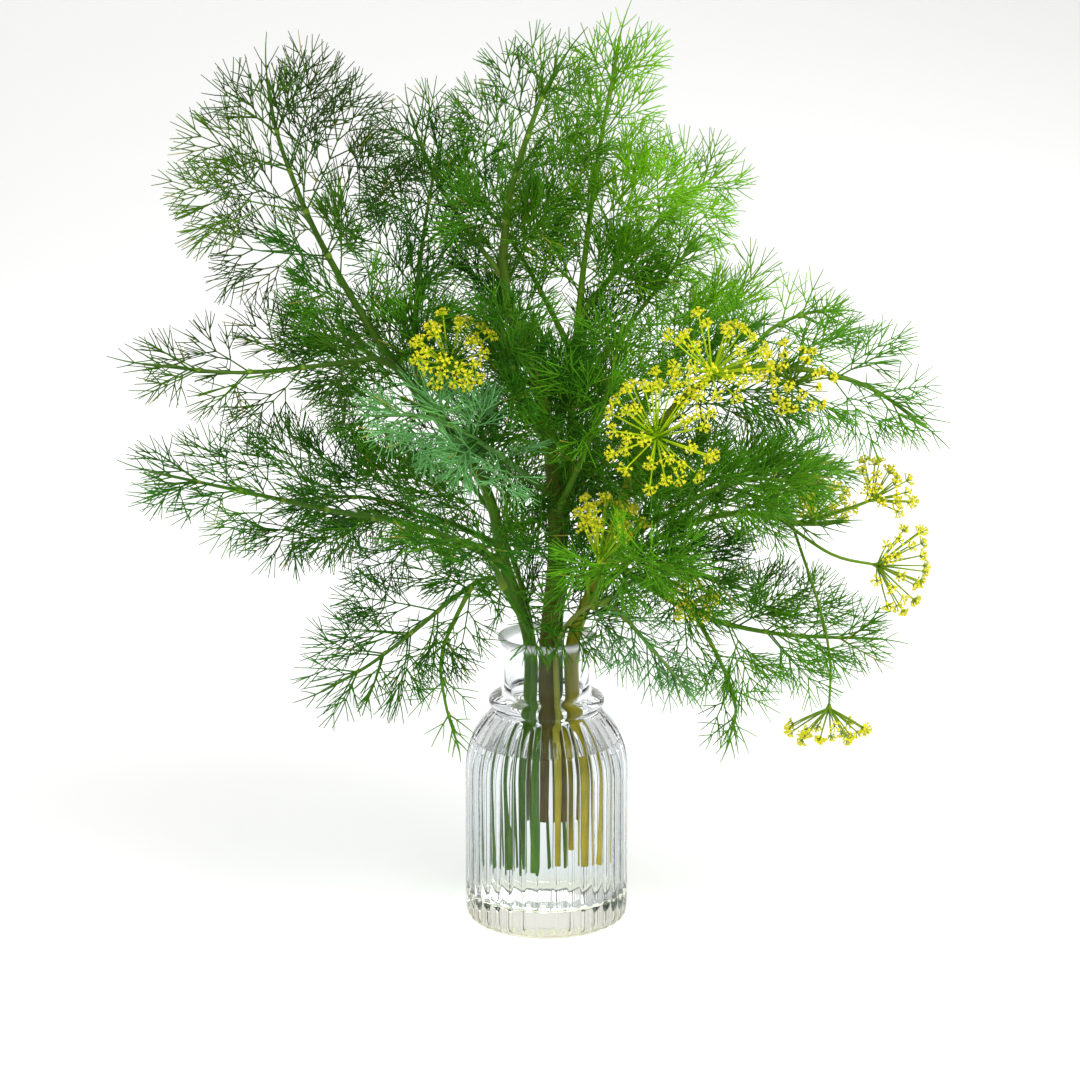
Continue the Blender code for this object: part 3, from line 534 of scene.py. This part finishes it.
def attribute(finish, name, output):
    return finish.add("ShaderNodeAttribute", {"attribute_name": name}, output=output)


# Stalks carry fine pale ridges lengthwise, which the pattern takes from the way round and along
stalk = Finish("dill_stalk", {"Roughness": 0.42, "Specular IOR Level": 0.16})
ring_place = stalk.add("ShaderNodeVectorMath", {"operation": "SCALE"},
                       {0: attribute(stalk, "around", "Vector"), "Scale": 3.2})
run_place = stalk.add("ShaderNodeCombineXYZ", inputs={2: attribute(stalk, "along", "Fac") * 45.0})
ridge_place = stalk.add("ShaderNodeVectorMath", {"operation": "ADD"}, {0: ring_place, 1: run_place})
ridges = stalk.add("ShaderNodeTexNoise", inputs={0: ridge_place, "Scale": 1.0, "Detail": 2.0})
streak = stalk.add("ShaderNodeMapRange", inputs={0: ridges, 1: 0.45, 2: 0.65, 3: 0.0, 4: 0.35})
stalk.paint("Base Color", stalk.mix(streak, mottled_tint(stalk, 60.0), RIDGE_PALE))
stalk.bump(ridges, 0.4, 0.0004)

thread = Finish("dill_thread", {"Roughness": 0.55, "Specular IOR Level": 0.06})
thread.paint("Base Color", mottled_tint(thread, 30.0))


def turned_way(way, axis, angle):
    """The direction `way` turned by an angle about an axis."""
    axis = axis.normalized()
    return (way * math.cos(angle) + axis.cross(way) * math.sin(angle)
            + axis * axis.dot(way) * (1.0 - math.cos(angle)))


def smooth_path(points, step):
    """Points along the smooth curve, about a step apart."""
    joints = [0.0]
    for index, (a, b) in enumerate(zip(points, points[1:])):
        pieces = max(1, round((b - a).length / step))
        joints += [index + part / pieces for part in range(1, pieces + 1)]
    return [between(points, joint) for joint in joints]


def run_lengths(path):
    """How far along the path each of its points lies."""
    runs = [0.0]
    for a, b in zip(path, path[1:]):
        runs.append(runs[-1] + (b - a).length)
    return runs


def limb_paths(limbs):
    """The curve points of every limb, each rooted on the middle line of its parent."""
    paths = []
    for limb in limbs:
        points = [Vector(point) for point in limb.points]
        if limb.parent is not None:
            points.insert(0, between(paths[limb.parent], limb.joint))
        paths.append(points)
    return paths


LEAF_STEP = 22.0
PAIRS_END = 0.985                # share of a leaf's length that its pairs keep within
CROWDING = 0.9                   # below 1, the pairs stand closer together towards the tip
LEAF_OPENING = 58.0              # degrees between the stalk and the first pair
OPENING_LOSS = 22.0              # degrees less at the leaf's tip
OPENING_VARIES = 6.0
LEAF_ROLL = 26.0
SHORTENING = 0.58                # share of their length that leaflets lose towards the tip


def leaf_sprays(points, leaf, seed):
    """Root, direction, length and stalk direction of every leaflet, in pairs along a leaf."""
    draw = random.Random(seed)
    path = smooth_path(points, LEAF_STEP)
    runs = run_lengths(path)
    sprays = []
    for pair in range(leaf.pairs):
        share = (pair / leaf.pairs) ** CROWDING
        place_on = runs[-1] * (leaf.start + (PAIRS_END - leaf.start) * share)
        index = next(i for i, run in enumerate(runs) if run >= place_on) - 1
        root = path[index].lerp(path[index + 1],
                                (place_on - runs[index]) / (runs[index + 1] - runs[index]))
        way = (path[index + 1] - path[index]).normalized()
        across = way.cross(Vector(leaf.faces)).normalized()
        for hand in (-1.0, 1.0):
            opening = math.radians(LEAF_OPENING - OPENING_LOSS * share
                                   + draw.uniform(-OPENING_VARIES, OPENING_VARIES))
            roll = math.radians(draw.uniform(-LEAF_ROLL, LEAF_ROLL))
            aside = turned_way(across * hand, way, roll * hand)
            direction = (way * math.cos(opening) + aside * math.sin(opening)).normalized()
            length = leaf.reach * (1.0 - SHORTENING * share) * min(1.0, 0.76 + share)
            length *= draw.uniform(0.88, 1.06)
            draw.randrange(1 << 20)      # one draw more, which keeps the later leaflets in place
            sprays.append((root, direction, length, way))
    return sprays


# How far from the bottle's axis threads stay, up to the shoulder's top and just above the lip
BODY_CLEAR = 37.8
SHOULDER_TOP = 97.0
COLLAR_CLEAR = 26.7
JUST_ABOVE_LIP = 134.2


def in_bottle(point):
    """True where a thread would run into the glass or the mouth."""
    reach = math.hypot(point.x, point.y)
    beside_body = point.z < SHOULDER_TOP and reach < BODY_CLEAR
    return beside_body or (point.z < JUST_ABOVE_LIP and reach < COLLAR_CLEAR)


def bent_line(root, heading, length, curl, steps):
    """Points of a line that turns from its heading towards the curl as it goes."""
    points = [root]
    for _ in range(steps):
        heading = (heading + curl / steps).normalized()
        points.append(points[-1] + heading * (length / steps))
    return points


# How a strand divides, from a leaflet down to its last threads: millimetres between the
# pairs on it, share of its length before the first pair, opening of a pair in degrees at the
# root and at the tip, how far it rolls out of the leaf's plane, its length at most against
# the whole strand, the strand's own radius, and its straight stretches.
Order = namedtuple("Order", "spacing start opening closing roll widest radius steps")
ORDERS = (
    Order(8.4, 0.26, 48, 30, 45, 0.54, 0.48, 4),
    Order(5.8, 0.26, 36, 25, 65, 0.72, 0.39, 3),
    Order(5.0, 0.34, 29, 22, 85, 0.92, 0.34, 2),
    Order(None, 0.0, 0, 0, 0, 0.0, 0.31, 2),
)
TIP_RADIUS = 0.19
LAST_PAIR = 8.0                  # at least, from a strand's tip to the last pair on it
SHORTEST_THREAD = 5.5
LONGEST_THREAD = 12.5            # a longer strand divides again
DRY_TIP = (0.42, 0.34, 0.05)
DRY_SHARE = 0.012                # of all strands have a dry tip
TIP_BRIGHTER = 1.3


def grow(strands, root, heading, curl, side, length, tint, close, draw, order=0):
    """A strand with pairs of finer strands on it, down to single threads."""
    rule = ORDERS[order]
    path = bent_line(root, heading, length, curl, rule.steps)
    if any(in_bottle(point) for point in path):
        return
    bright = 1.0 + draw.uniform(-0.14, 0.18)
    own = tuple(channel * bright for channel in tint)
    if order == 0:
        own = mixed(own, STEM_GREEN, 0.5)
    fresh_tip = tuple(channel * TIP_BRIGHTER for channel in own)
    tip = DRY_TIP if draw.random() < DRY_SHARE else fresh_tip
    strands.taper(path, rule.radius, TIP_RADIUS, own, tip)
    if not rule.spacing:
        return
    place_on = rule.start * length
    while place_on < length - LAST_PAIR:
        share = place_on / length
        low = min(int(share * rule.steps), rule.steps - 1)
        base = path[low].lerp(path[low + 1], share * rule.steps - low)
        way = (path[low + 1] - path[low]).normalized()
        for hand in (-1.0, 1.0):
            roll = math.radians(draw.uniform(-rule.roll, rule.roll))
            aside = turned_way(side * hand, way, roll)
            opening = math.radians(rule.opening + (rule.closing - rule.opening) * share
                                   + draw.uniform(-OPENING_VARIES, OPENING_VARIES))
            child = (way * math.cos(opening) + aside * math.sin(opening)).normalized()
            reach = min(rule.widest * length, 0.86 * (length - place_on) + 1.5)
            reach *= draw.uniform(0.78, 1.14)
            if reach < SHORTEST_THREAD:
                continue
            child_side = (way - child * way.dot(child)).normalized()
            child_curl = way * draw.uniform(0.1, 0.4) + aside * draw.uniform(-0.1, 0.1)
            child_order = order + 1 if reach > LONGEST_THREAD else len(ORDERS) - 1
            grow(strands, base, child, child_curl, child_side, reach, tint, close, draw,
                 child_order)
        place_on += rule.spacing * close * draw.uniform(0.85, 1.15)


def leaflet(strands, root, heading, way, length, tint, close, draw, curl=None):
    """A whole leaflet on a leaf stalk that runs along `way`; it bends a little forward."""
    side = (way - heading * way.dot(heading)).normalized()
    shade = draw.uniform(0.78, 1.25)
    own = mixed(tint, draw.choice((FRESH_GREEN_AND_LIGHT, DEEP_GREEN_AND_SHADE)), draw.uniform(0.0, 0.3))
    own = tuple(channel * shade for channel in own)
    grow(strands, root, heading, curl or way * 0.22, side, length, own, close, draw)


def swelling(strands, middle, way, radius):
    """A leaf joint: the stalk is thicker and paler for three millimetres."""
    points = [middle + way * offset for offset in (-1.5, -0.8, 0.0, 0.8, 1.5)]
    radii = [radius * share for share in (0.96, 1.12, 1.22, 1.12, 0.96)]
    tints = [mixed(STEM_GREEN, JOINT_GREEN, share) for share in (0.0, 0.5, 0.8, 0.5, 0.0)]
    strands.add(points, radii, tints)


def stalk_line(strands, limb, path, runs, stem_tint):
    """Adds a limb's stalk, thicker and paler where it branches off, and gives its radii."""
    low, high = limb.thick
    radii = [low + (high - low) * k / (len(path) - 1) for k in range(len(path))]
    base_tint = stem_tint if limb.parent is None else mixed(STEM_GREEN, limb.leaf.tint, 0.4)
    end_tint = mixed(STEM_GREEN, limb.leaf.tint, 0.6)
    tints = [mixed(base_tint, end_tint, run / runs[-1]) for run in runs]
    if limb.parent is not None:
        radii = [radius * (1.0 + 0.5 * math.exp(-run / 7.0)) for radius, run in zip(radii, runs)]
        tints = [mixed(tint, JOINT_GREEN, 0.7 * math.exp(-run / 9.0))
                 for tint, run in zip(tints, runs)]
    strands.add(path, radii, tints)
    return radii


ROLLED_LEAST = 45.0              # degrees that a leaflet is rolled out of the leaf's plane
ROLLED_MOST = 85.0
ROLLED_MORE = 30.0               # degrees more at most for each further one
ROLLED_LENGTH = 0.72


def side_leaflets(threads, stalks, sprays, path, radii, leaf, draw):
    """The leaflets in pairs along a leaf, some rolled out of its plane, with a joint to a pair."""
    for number, (root, direction, length, way) in enumerate(sprays):
        leaflet(threads, root, direction, way, length, leaf.tint, leaf.close, draw)
        for turn in range(leaf.rolled):
            hand = draw.choice((-1, 1))
            roll = math.radians(hand * draw.uniform(ROLLED_LEAST, ROLLED_MOST + ROLLED_MORE * turn))
            leaflet(threads, root + way * (1.5 + 3.0 * turn), turned_way(direction, way, roll), way,
                    length * ROLLED_LENGTH, leaf.tint, leaf.close, draw)
        if number % 2 == 0:
            nearest = min(range(len(path)), key=lambda k: (path[k] - root).length)
            swelling(stalks, root, way, radii[nearest])


# How far from a leaf's end its last small leaflets sit, and their length, against its reach
TIP_LEAFLETS = ((0.30, 0.40), (0.12, 0.30), (0.0, 0.26))


def tip_leaflets(threads, path, leaf, draw):
    """The small leaflets that close a leaf: two pairs and a single one at its end."""
    end = (path[-1] - path[-2]).normalized()
    beside = end.cross(Vector(leaf.faces)).normalized()
    for back, share in TIP_LEAFLETS:
        for hand in (-1.0, 1.0) if back > 0.0 else (0.0,):
            heading = (end + beside * hand * draw.uniform(0.55, 0.8)).normalized()
            heading = turned_way(heading, end, math.radians(draw.uniform(-30.0, 30.0)))
            leaflet(threads, path[-1] - end * (back * leaf.reach + 1.0), heading,
                    end if hand else beside, share * leaf.reach, leaf.tint, leaf.close, draw)


INNER_FROM = 139.0               # height from which small inner leaflets sit on the main stems
INNER_STEP = 5.0
INNER_OPENING = (36.0, 80.0)
INNER_LENGTH = (24.0, 40.0)
INNER_GROWTH = 80.0              # height over which they get half as long again
SMALL_CLOSE = 0.75               # how close the threads of small leaflets stand


def inner_leaflets(threads, path, runs, leaf, draw, hue):
    """Small leaflets all round a main stem, from the bottle's mouth up to the stem's leaf."""
    free_from = 0.0
    for a, b, run in zip(path, path[1:], runs):
        if a.z < INNER_FROM or run > leaf.start * runs[-1] or run < free_from:
            continue
        free_from = run + INNER_STEP
        way = (b - a).normalized()
        aside = turned_way(way.orthogonal().normalized(), way, draw.uniform(0.0, 2.0 * math.pi))
        opening = math.radians(draw.uniform(*INNER_OPENING))
        heading = (way * math.cos(opening) + aside * math.sin(opening)).normalized()
        longer = 1.0 + 0.5 * min(1.0, (a.z - INNER_FROM) / INNER_GROWTH)
        reach = draw.uniform(*INNER_LENGTH) * longer
        # Partly painted shade: the small inner leaflets lean towards the deep green.
        tint = mixed(DEEP_GREEN_AND_SHADE, MID, hue.uniform(0.0, 0.8))
        leaflet(threads, a, heading, way, reach, tint, SMALL_CLOSE, draw)


# Small leaflets that droop over the bottle's lip, by how far each leans aside
OVER_THE_LIP = {"leafy_stem_front_left": (0.25, 0.7), "leafy_stem_front_right": (-0.1, 0.4, 0.9)}
DROOP_FROM = 141.0
DROOP_LENGTH = (30.0, 36.0)
DROOP = Vector((0.0, 0.0, -0.95))


def drooping_leaflets(threads, path, leans, draw):
    """The leaflets that leave a stem just above the lip, towards the front, and hang over it."""
    root = next(point for point in path if point.z > DROOP_FROM)
    for aside in leans:
        heading = Vector((aside, -1.0, 0.15)).normalized()
        leaflet(threads, root, heading, Vector((0.0, 0.0, 1.0)), draw.uniform(*DROOP_LENGTH),
                MID, SMALL_CLOSE, draw, DROOP)


STALK_STEP = 5.0

for owner, (name, (stem_tint, limbs)) in enumerate(LEAFY_STEMS.items()):
    stalks = Strands()
    threads = Strands()
    for index, (points, limb) in enumerate(zip(limb_paths(limbs), limbs)):
        path = smooth_path(points, STALK_STEP)
        runs = run_lengths(path)
        radii = stalk_line(stalks, limb, path, runs, stem_tint)
        seed = 1000 * owner + index
        draw = random.Random(seed + 77)
        sprays = leaf_sprays(points, limb.leaf, seed)
        side_leaflets(threads, stalks, sprays, path, radii, limb.leaf, draw)
        tip_leaflets(threads, path, limb.leaf, draw)
        if limb.parent is None:
            inner_leaflets(threads, path, runs, limb.leaf, draw, random.Random(seed + 78))
            if name in OVER_THE_LIP:
                drooping_leaflets(threads, path, OVER_THE_LIP[name], draw)
    stalk_piece = grown(name + "_stalks", stalks.mesh(name + "_stalk_lines"), rounding.tree,
                        {"Sides": 9, "Finish": stalk.material})
    belongs(stalk_piece, "leaf_green", name)
    thread_piece = grown(name + "_threads", threads.mesh(name + "_thread_lines"), rounding.tree,
                         {"Sides": 3, "Finish": thread.material})
    belongs(thread_piece, "leaf_green", name)


# The umbels: flat flower heads of dill.  Green rays leave the end of a stalk and each
# carries a tuft of short yellow-green flower stalks with a tiny lemon yellow flower on each.

Umbel = namedtuple("Umbel", "stem limb joint points reach rays faces spread bloom")
UMBELS = {
    "umbel_left": Umbel("leafy_stem_left", 1, 0.3, [(-44, -34, 254), (-42, -46, 266)],
                        21, 13, (0.1, -0.8, 0.6), 62, 1.0),
    "umbel_large": Umbel("leafy_stem_right_flowering", 0, 5.3, [(44, -40, 222), (47, -54, 236)],
                         29, 17, (0.05, -0.9, 0.4), 66, 1.0),
    "umbel_upper": Umbel("leafy_stem_right_flowering", 0, 6.9, [(72, -36, 260), (71, -44, 262)],
                         25, 14, (0.1, -0.8, 0.6), 64, 1.0),
    "umbel_front": Umbel("leafy_stem_front_right", 0, 4.2, [(18, -40, 168), (23, -44, 178)],
                         30, 11, (0.20, -0.35, 1.0), 38, 0.9),
    "umbel_far_right": Umbel("leafy_stem_right_low", 0, 7.0, [(134, -18, 196), (144, -18, 200)],
                             17, 10, (0.5, -0.5, 0.7), 60, 0.7),
    "umbel_right_tip": Umbel("leafy_stem_right_low", 0, 6.6, [(126, -22, 176), (146, -26, 172)],
                             24, 12, (0.75, -0.5, 0.0), 68, 0.6),
    "umbel_right_inner": Umbel("leafy_stem_right_low", 0, 6.2, [(108, 10, 186), (120, 14, 184)],
                               18, 10, (0.3, -0.4, 0.8), 58, 0.8),
    "umbel_hanging": Umbel("leafy_stem_right_low", 0, 6.8,
                           [(121, -22, 152), (126, -25, 128), (126, -25, 106)],
                           20, 10, (0.0, -0.25, -1.0), 74, 0.5),
    "umbel_small": Umbel("leafy_stem_front_right", 2, 1.0, [(60, -44, 166), (62, -40, 158)],
                         12, 8, (0.2, -0.8, 0.5), 60, 0.8),
    "umbel_green": Umbel("leafy_stem_right_flowering", 0, 7.6, [(104, -34, 258), (106, -40, 257)],
                         18, 11, (0.1, -0.9, 0.4), 66, 0.3),
}
RAY_GREEN = (0.340, 0.600, 0.008)
FLOWER_STALK = (0.600, 0.740, 0.008)
HUB_YELLOW = (0.800, 0.780, 0.012)
GOLDEN_ANGLE = math.radians(137.5)
RAYS_TO_ONE = 2.0                # rays here to one ray of the solid
FLOWERS_ON_RAY = 10
TUFT_REACH = 3.3
TUFT_OPENING = 72.0              # degrees of the outermost flower stalk
FLOWER_SIZE = 0.98               # from the middle of a usual flower to the tip of a lobe
LOBES = 5
UMBEL_STEP = 4.0
STALK_RADII = (0.9, 0.7)
RAY_RADII = (0.50, 0.34)
FLOWER_STALK_RADII = (0.2, 0.24)
HUB_RADII = (0.7, 1.1, 1.7, 1.2)


def flower_template():
    """A closed five-lobed cup on a short seed base, one unit wide, low enough in faces."""
    shape = bmesh.new()
    rim = []
    for point in range(2 * LOBES):
        angle = math.pi * point / LOBES
        lobe = point % 2 == 0
        rim.append(shape.verts.new((math.cos(angle) * (1.0 if lobe else 0.5),
                                    math.sin(angle) * (1.0 if lobe else 0.5),
                                    0.75 if lobe else 0.35)))
    top = shape.verts.new((0.0, 0.0, 0.45))
    foot = shape.verts.new((0.0, 0.0, -0.9))
    for point in range(2 * LOBES):
        after = (point + 1) % (2 * LOBES)
        shape.faces.new((rim[point], rim[after], top))
        shape.faces.new((rim[after], rim[point], foot))
    mesh = bpy.data.meshes.new("flower")
    shape.to_mesh(mesh)
    shape.free()
    flower = bpy.data.objects.new("flower_template", mesh)
    bpy.context.collection.objects.link(flower)
    return flower


flowering, given = geometry_tree("set_flowers", {"Flower": "NodeSocketObject", "Size": "NodeSocketFloat",
                                                 "Finish": "NodeSocketMaterial"})
cup = flowering.add("GeometryNodeObjectInfo", inputs={0: given["Flower"]}, output="Geometry")
aim = flowering.add("GeometryNodeInputNamedAttribute", {"data_type": "FLOAT_VECTOR"}, {0: "aim"})
facing = flowering.add("FunctionNodeAlignRotationToVector", {"axis": "Z"}, {"Vector": aim})
growth = flowering.add("FunctionNodeRandomValue", {"data_type": "FLOAT"},
                       {2: 0.75, 3: 1.2, "Seed": 5}, 1)
cups = flowering.add("GeometryNodeInstanceOnPoints",
                     inputs={0: given["Geometry"], "Instance": cup, "Rotation": facing,
                             "Scale": growth * given["Size"]})
close_tree(flowering, cups, given["Finish"])

flower_finish = Finish("dill_flower", {"Roughness": 0.55, "Subsurface Weight": 0.1,
                                       "Subsurface Scale": 0.001})
lemon = flower_finish.mix(flower_finish.noise(300.0, 2.0), (0.58, 0.62, 0.008, 1),
                          (0.95, 0.82, 0.012, 1))
flower_finish.paint("Base Color", lemon)


def grow_umbel(umbel, draw):
    """The stalk, hub, rays and flower stalks of an umbel; spots and aims of its flowers."""
    points = [Vector(point) for point in umbel.points]
    parent = limb_paths(LEAFY_STEMS[umbel.stem][1])[umbel.limb]
    points.insert(0, between(parent, umbel.joint))
    path = smooth_path(points, UMBEL_STEP)
    stalks = Strands()
    # Umbels that have bloomed less are greener
    ray_tint = mixed(STEM_GREEN, RAY_GREEN, umbel.bloom ** 2)
    stem_tint = mixed(STEM_GREEN, FLOWER_STALK, umbel.bloom ** 2)
    stalks.taper(path, *STALK_RADII, STEM_GREEN, ray_tint)
    hub = path[-1]
    end = (path[-1] - path[-2]).normalized()
    stalks.add([hub - end * 2.0, hub - end, hub, hub + end * 0.8], HUB_RADII,
               [STEM_GREEN, ray_tint, stem_tint, HUB_YELLOW])
    middle = Vector(umbel.faces).normalized()
    side = middle.orthogonal().normalized()
    spots, aims = [], []
    count = round(umbel.rays * RAYS_TO_ONE)
    for index in range(count):
        lean = math.radians(umbel.spread) * (0.3 + 0.7 * math.sqrt((index + 0.4) / count))
        aside = turned_way(side, middle, index * GOLDEN_ANGLE + draw.uniform(-0.2, 0.2))
        heading = (middle * math.cos(lean) + aside * math.sin(lean)).normalized()
        reach = umbel.reach * (0.78 + 0.2 * (index / count) ** 0.5) * draw.uniform(0.86, 1.1)
        ray = bent_line(hub, heading, reach, middle * 0.12, 3)
        stalks.taper(ray, *RAY_RADII, ray_tint, stem_tint)
        along = (ray[-1] - ray[-2]).normalized()
        beside = along.orthogonal().normalized()
        for flower_index in range(FLOWERS_ON_RAY):
            tilt = math.radians(TUFT_OPENING) * math.sqrt((flower_index + 0.3) / FLOWERS_ON_RAY)
            out = turned_way(beside, along, flower_index * GOLDEN_ANGLE + draw.uniform(-0.3, 0.3))
            stem_way = (along * math.cos(tilt) + out * math.sin(tilt)).normalized()
            end = ray[-1] + stem_way * TUFT_REACH * draw.uniform(0.7, 1.1) * (0.6 + 0.4 * umbel.bloom)
            stalks.taper([ray[-1], end], *FLOWER_STALK_RADII, stem_tint, stem_tint)
            spots.append(end * MM)
            aims.extend(stem_way)
    return stalks, spots, aims


flower = flower_template()
for number, (name, umbel) in enumerate(UMBELS.items()):
    stalks, spots, aims = grow_umbel(umbel, random.Random(number))
    stalk_piece = grown(name + "_rays", stalks.mesh(name + "_ray_lines"), rounding.tree,
                        {"Sides": 4, "Finish": stalk.material})
    belongs(stalk_piece, "umbel_yellow", name)
    flower_spots = bpy.data.meshes.new(name + "_spots")
    flower_spots.from_pydata(spots, [], [])
    flower_spots.attributes.new("aim", "FLOAT_VECTOR", "POINT").data.foreach_set("vector", aims)
    bloom_piece = grown(name + "_flowers", flower_spots, flowering.tree,
                        {"Flower": flower, "Size": FLOWER_SIZE * MM, "Finish": flower_finish.material})
    belongs(bloom_piece, "umbel_yellow", name)
bpy.data.objects.remove(flower, do_unlink=True)


# The stage: a pale floor that curves up behind, a large lamp from above on the right, weaker
# ones from the left and from behind, and the camera a little above the bunch.

def soft_light(name, place_at, size, power, aim_at):
    data = bpy.data.lights.new(name, "AREA")
    data.energy = power
    data.size = size
    lamp = bpy.data.objects.new(name, data)
    lamp.location = place_at
    lamp.rotation_euler = (Vector(aim_at) - Vector(place_at)).to_track_quat("-Z", "Y").to_euler()
    bpy.context.collection.objects.link(lamp)


FLOOR_FRONT = -25.0
FLOOR_HALF_WIDTH = 8.5
CURVE_START = 1.6
CURVE_RADIUS = 0.9
CURVE_STEPS = 10
WALL_TOP = 4.0
FLOOR_GAP = 0.0002               # the floor lies a hair under the foot


def floor_sweep():
    """A wide sheet that runs back and curves up into a wall."""
    rows = [(FLOOR_FRONT, 0.0), (CURVE_START, 0.0)]
    for step in range(1, CURVE_STEPS + 1):
        bend = math.radians(90.0 * step / CURVE_STEPS)
        rows.append((CURVE_START + CURVE_RADIUS * math.sin(bend),
                     CURVE_RADIUS - CURVE_RADIUS * math.cos(bend)))
    rows.append((CURVE_START + CURVE_RADIUS, WALL_TOP))
    corners = [(x, y, z - FLOOR_GAP) for y, z in rows for x in (-FLOOR_HALF_WIDTH, FLOOR_HALF_WIDTH)]
    faces = [(2 * i, 2 * i + 1, 2 * i + 3, 2 * i + 2) for i in range(len(rows) - 1)]
    mesh = bpy.data.meshes.new("floor")
    mesh.from_pydata(corners, [], faces)
    mesh.shade_smooth()
    paper = Finish("pale_floor", {"Base Color": (0.94, 0.94, 0.935, 1.0), "Roughness": 0.9,
                                  "Specular IOR Level": 0.1})
    mesh.materials.append(paper.material)
    sheet = bpy.data.objects.new("floor", mesh)
    bpy.context.collection.objects.link(sheet)


floor_sweep()
MIDDLE = (0.0, 0.0, 0.2)
soft_light("key", (0.9, -1.0, 1.5), 1.0, 21.0, MIDDLE)
soft_light("fill", (-1.3, -1.0, 0.8), 1.4, 7.0, MIDDLE)
soft_light("back", (0.5, 1.3, 1.3), 1.0, 14.0, MIDDLE)
world = bpy.data.worlds.new("studio")
bpy.context.scene.world = world
world.use_nodes = True
background = world.node_tree.nodes["Background"]
background.inputs["Color"].default_value = (1.0, 1.0, 1.0, 1.0)
background.inputs["Strength"].default_value = 0.7
bpy.context.scene.view_settings.view_transform = "Standard"

CAMERA_AIM = Vector((-0.003, 0.0, 0.177))
CAMERA_DISTANCE = 1.6
CAMERA_ELEVATION = math.radians(14.0)
lens = bpy.data.cameras.new("camera")
lens.lens = 119.0
lens.sensor_width = 36.0
camera = bpy.data.objects.new("camera", lens)
look = Vector((0.0, math.cos(CAMERA_ELEVATION), -math.sin(CAMERA_ELEVATION)))
camera.location = CAMERA_AIM - look * CAMERA_DISTANCE
camera.rotation_euler = look.to_track_quat("-Z", "Y").to_euler()
bpy.context.collection.objects.link(camera)
bpy.context.scene.camera = camera
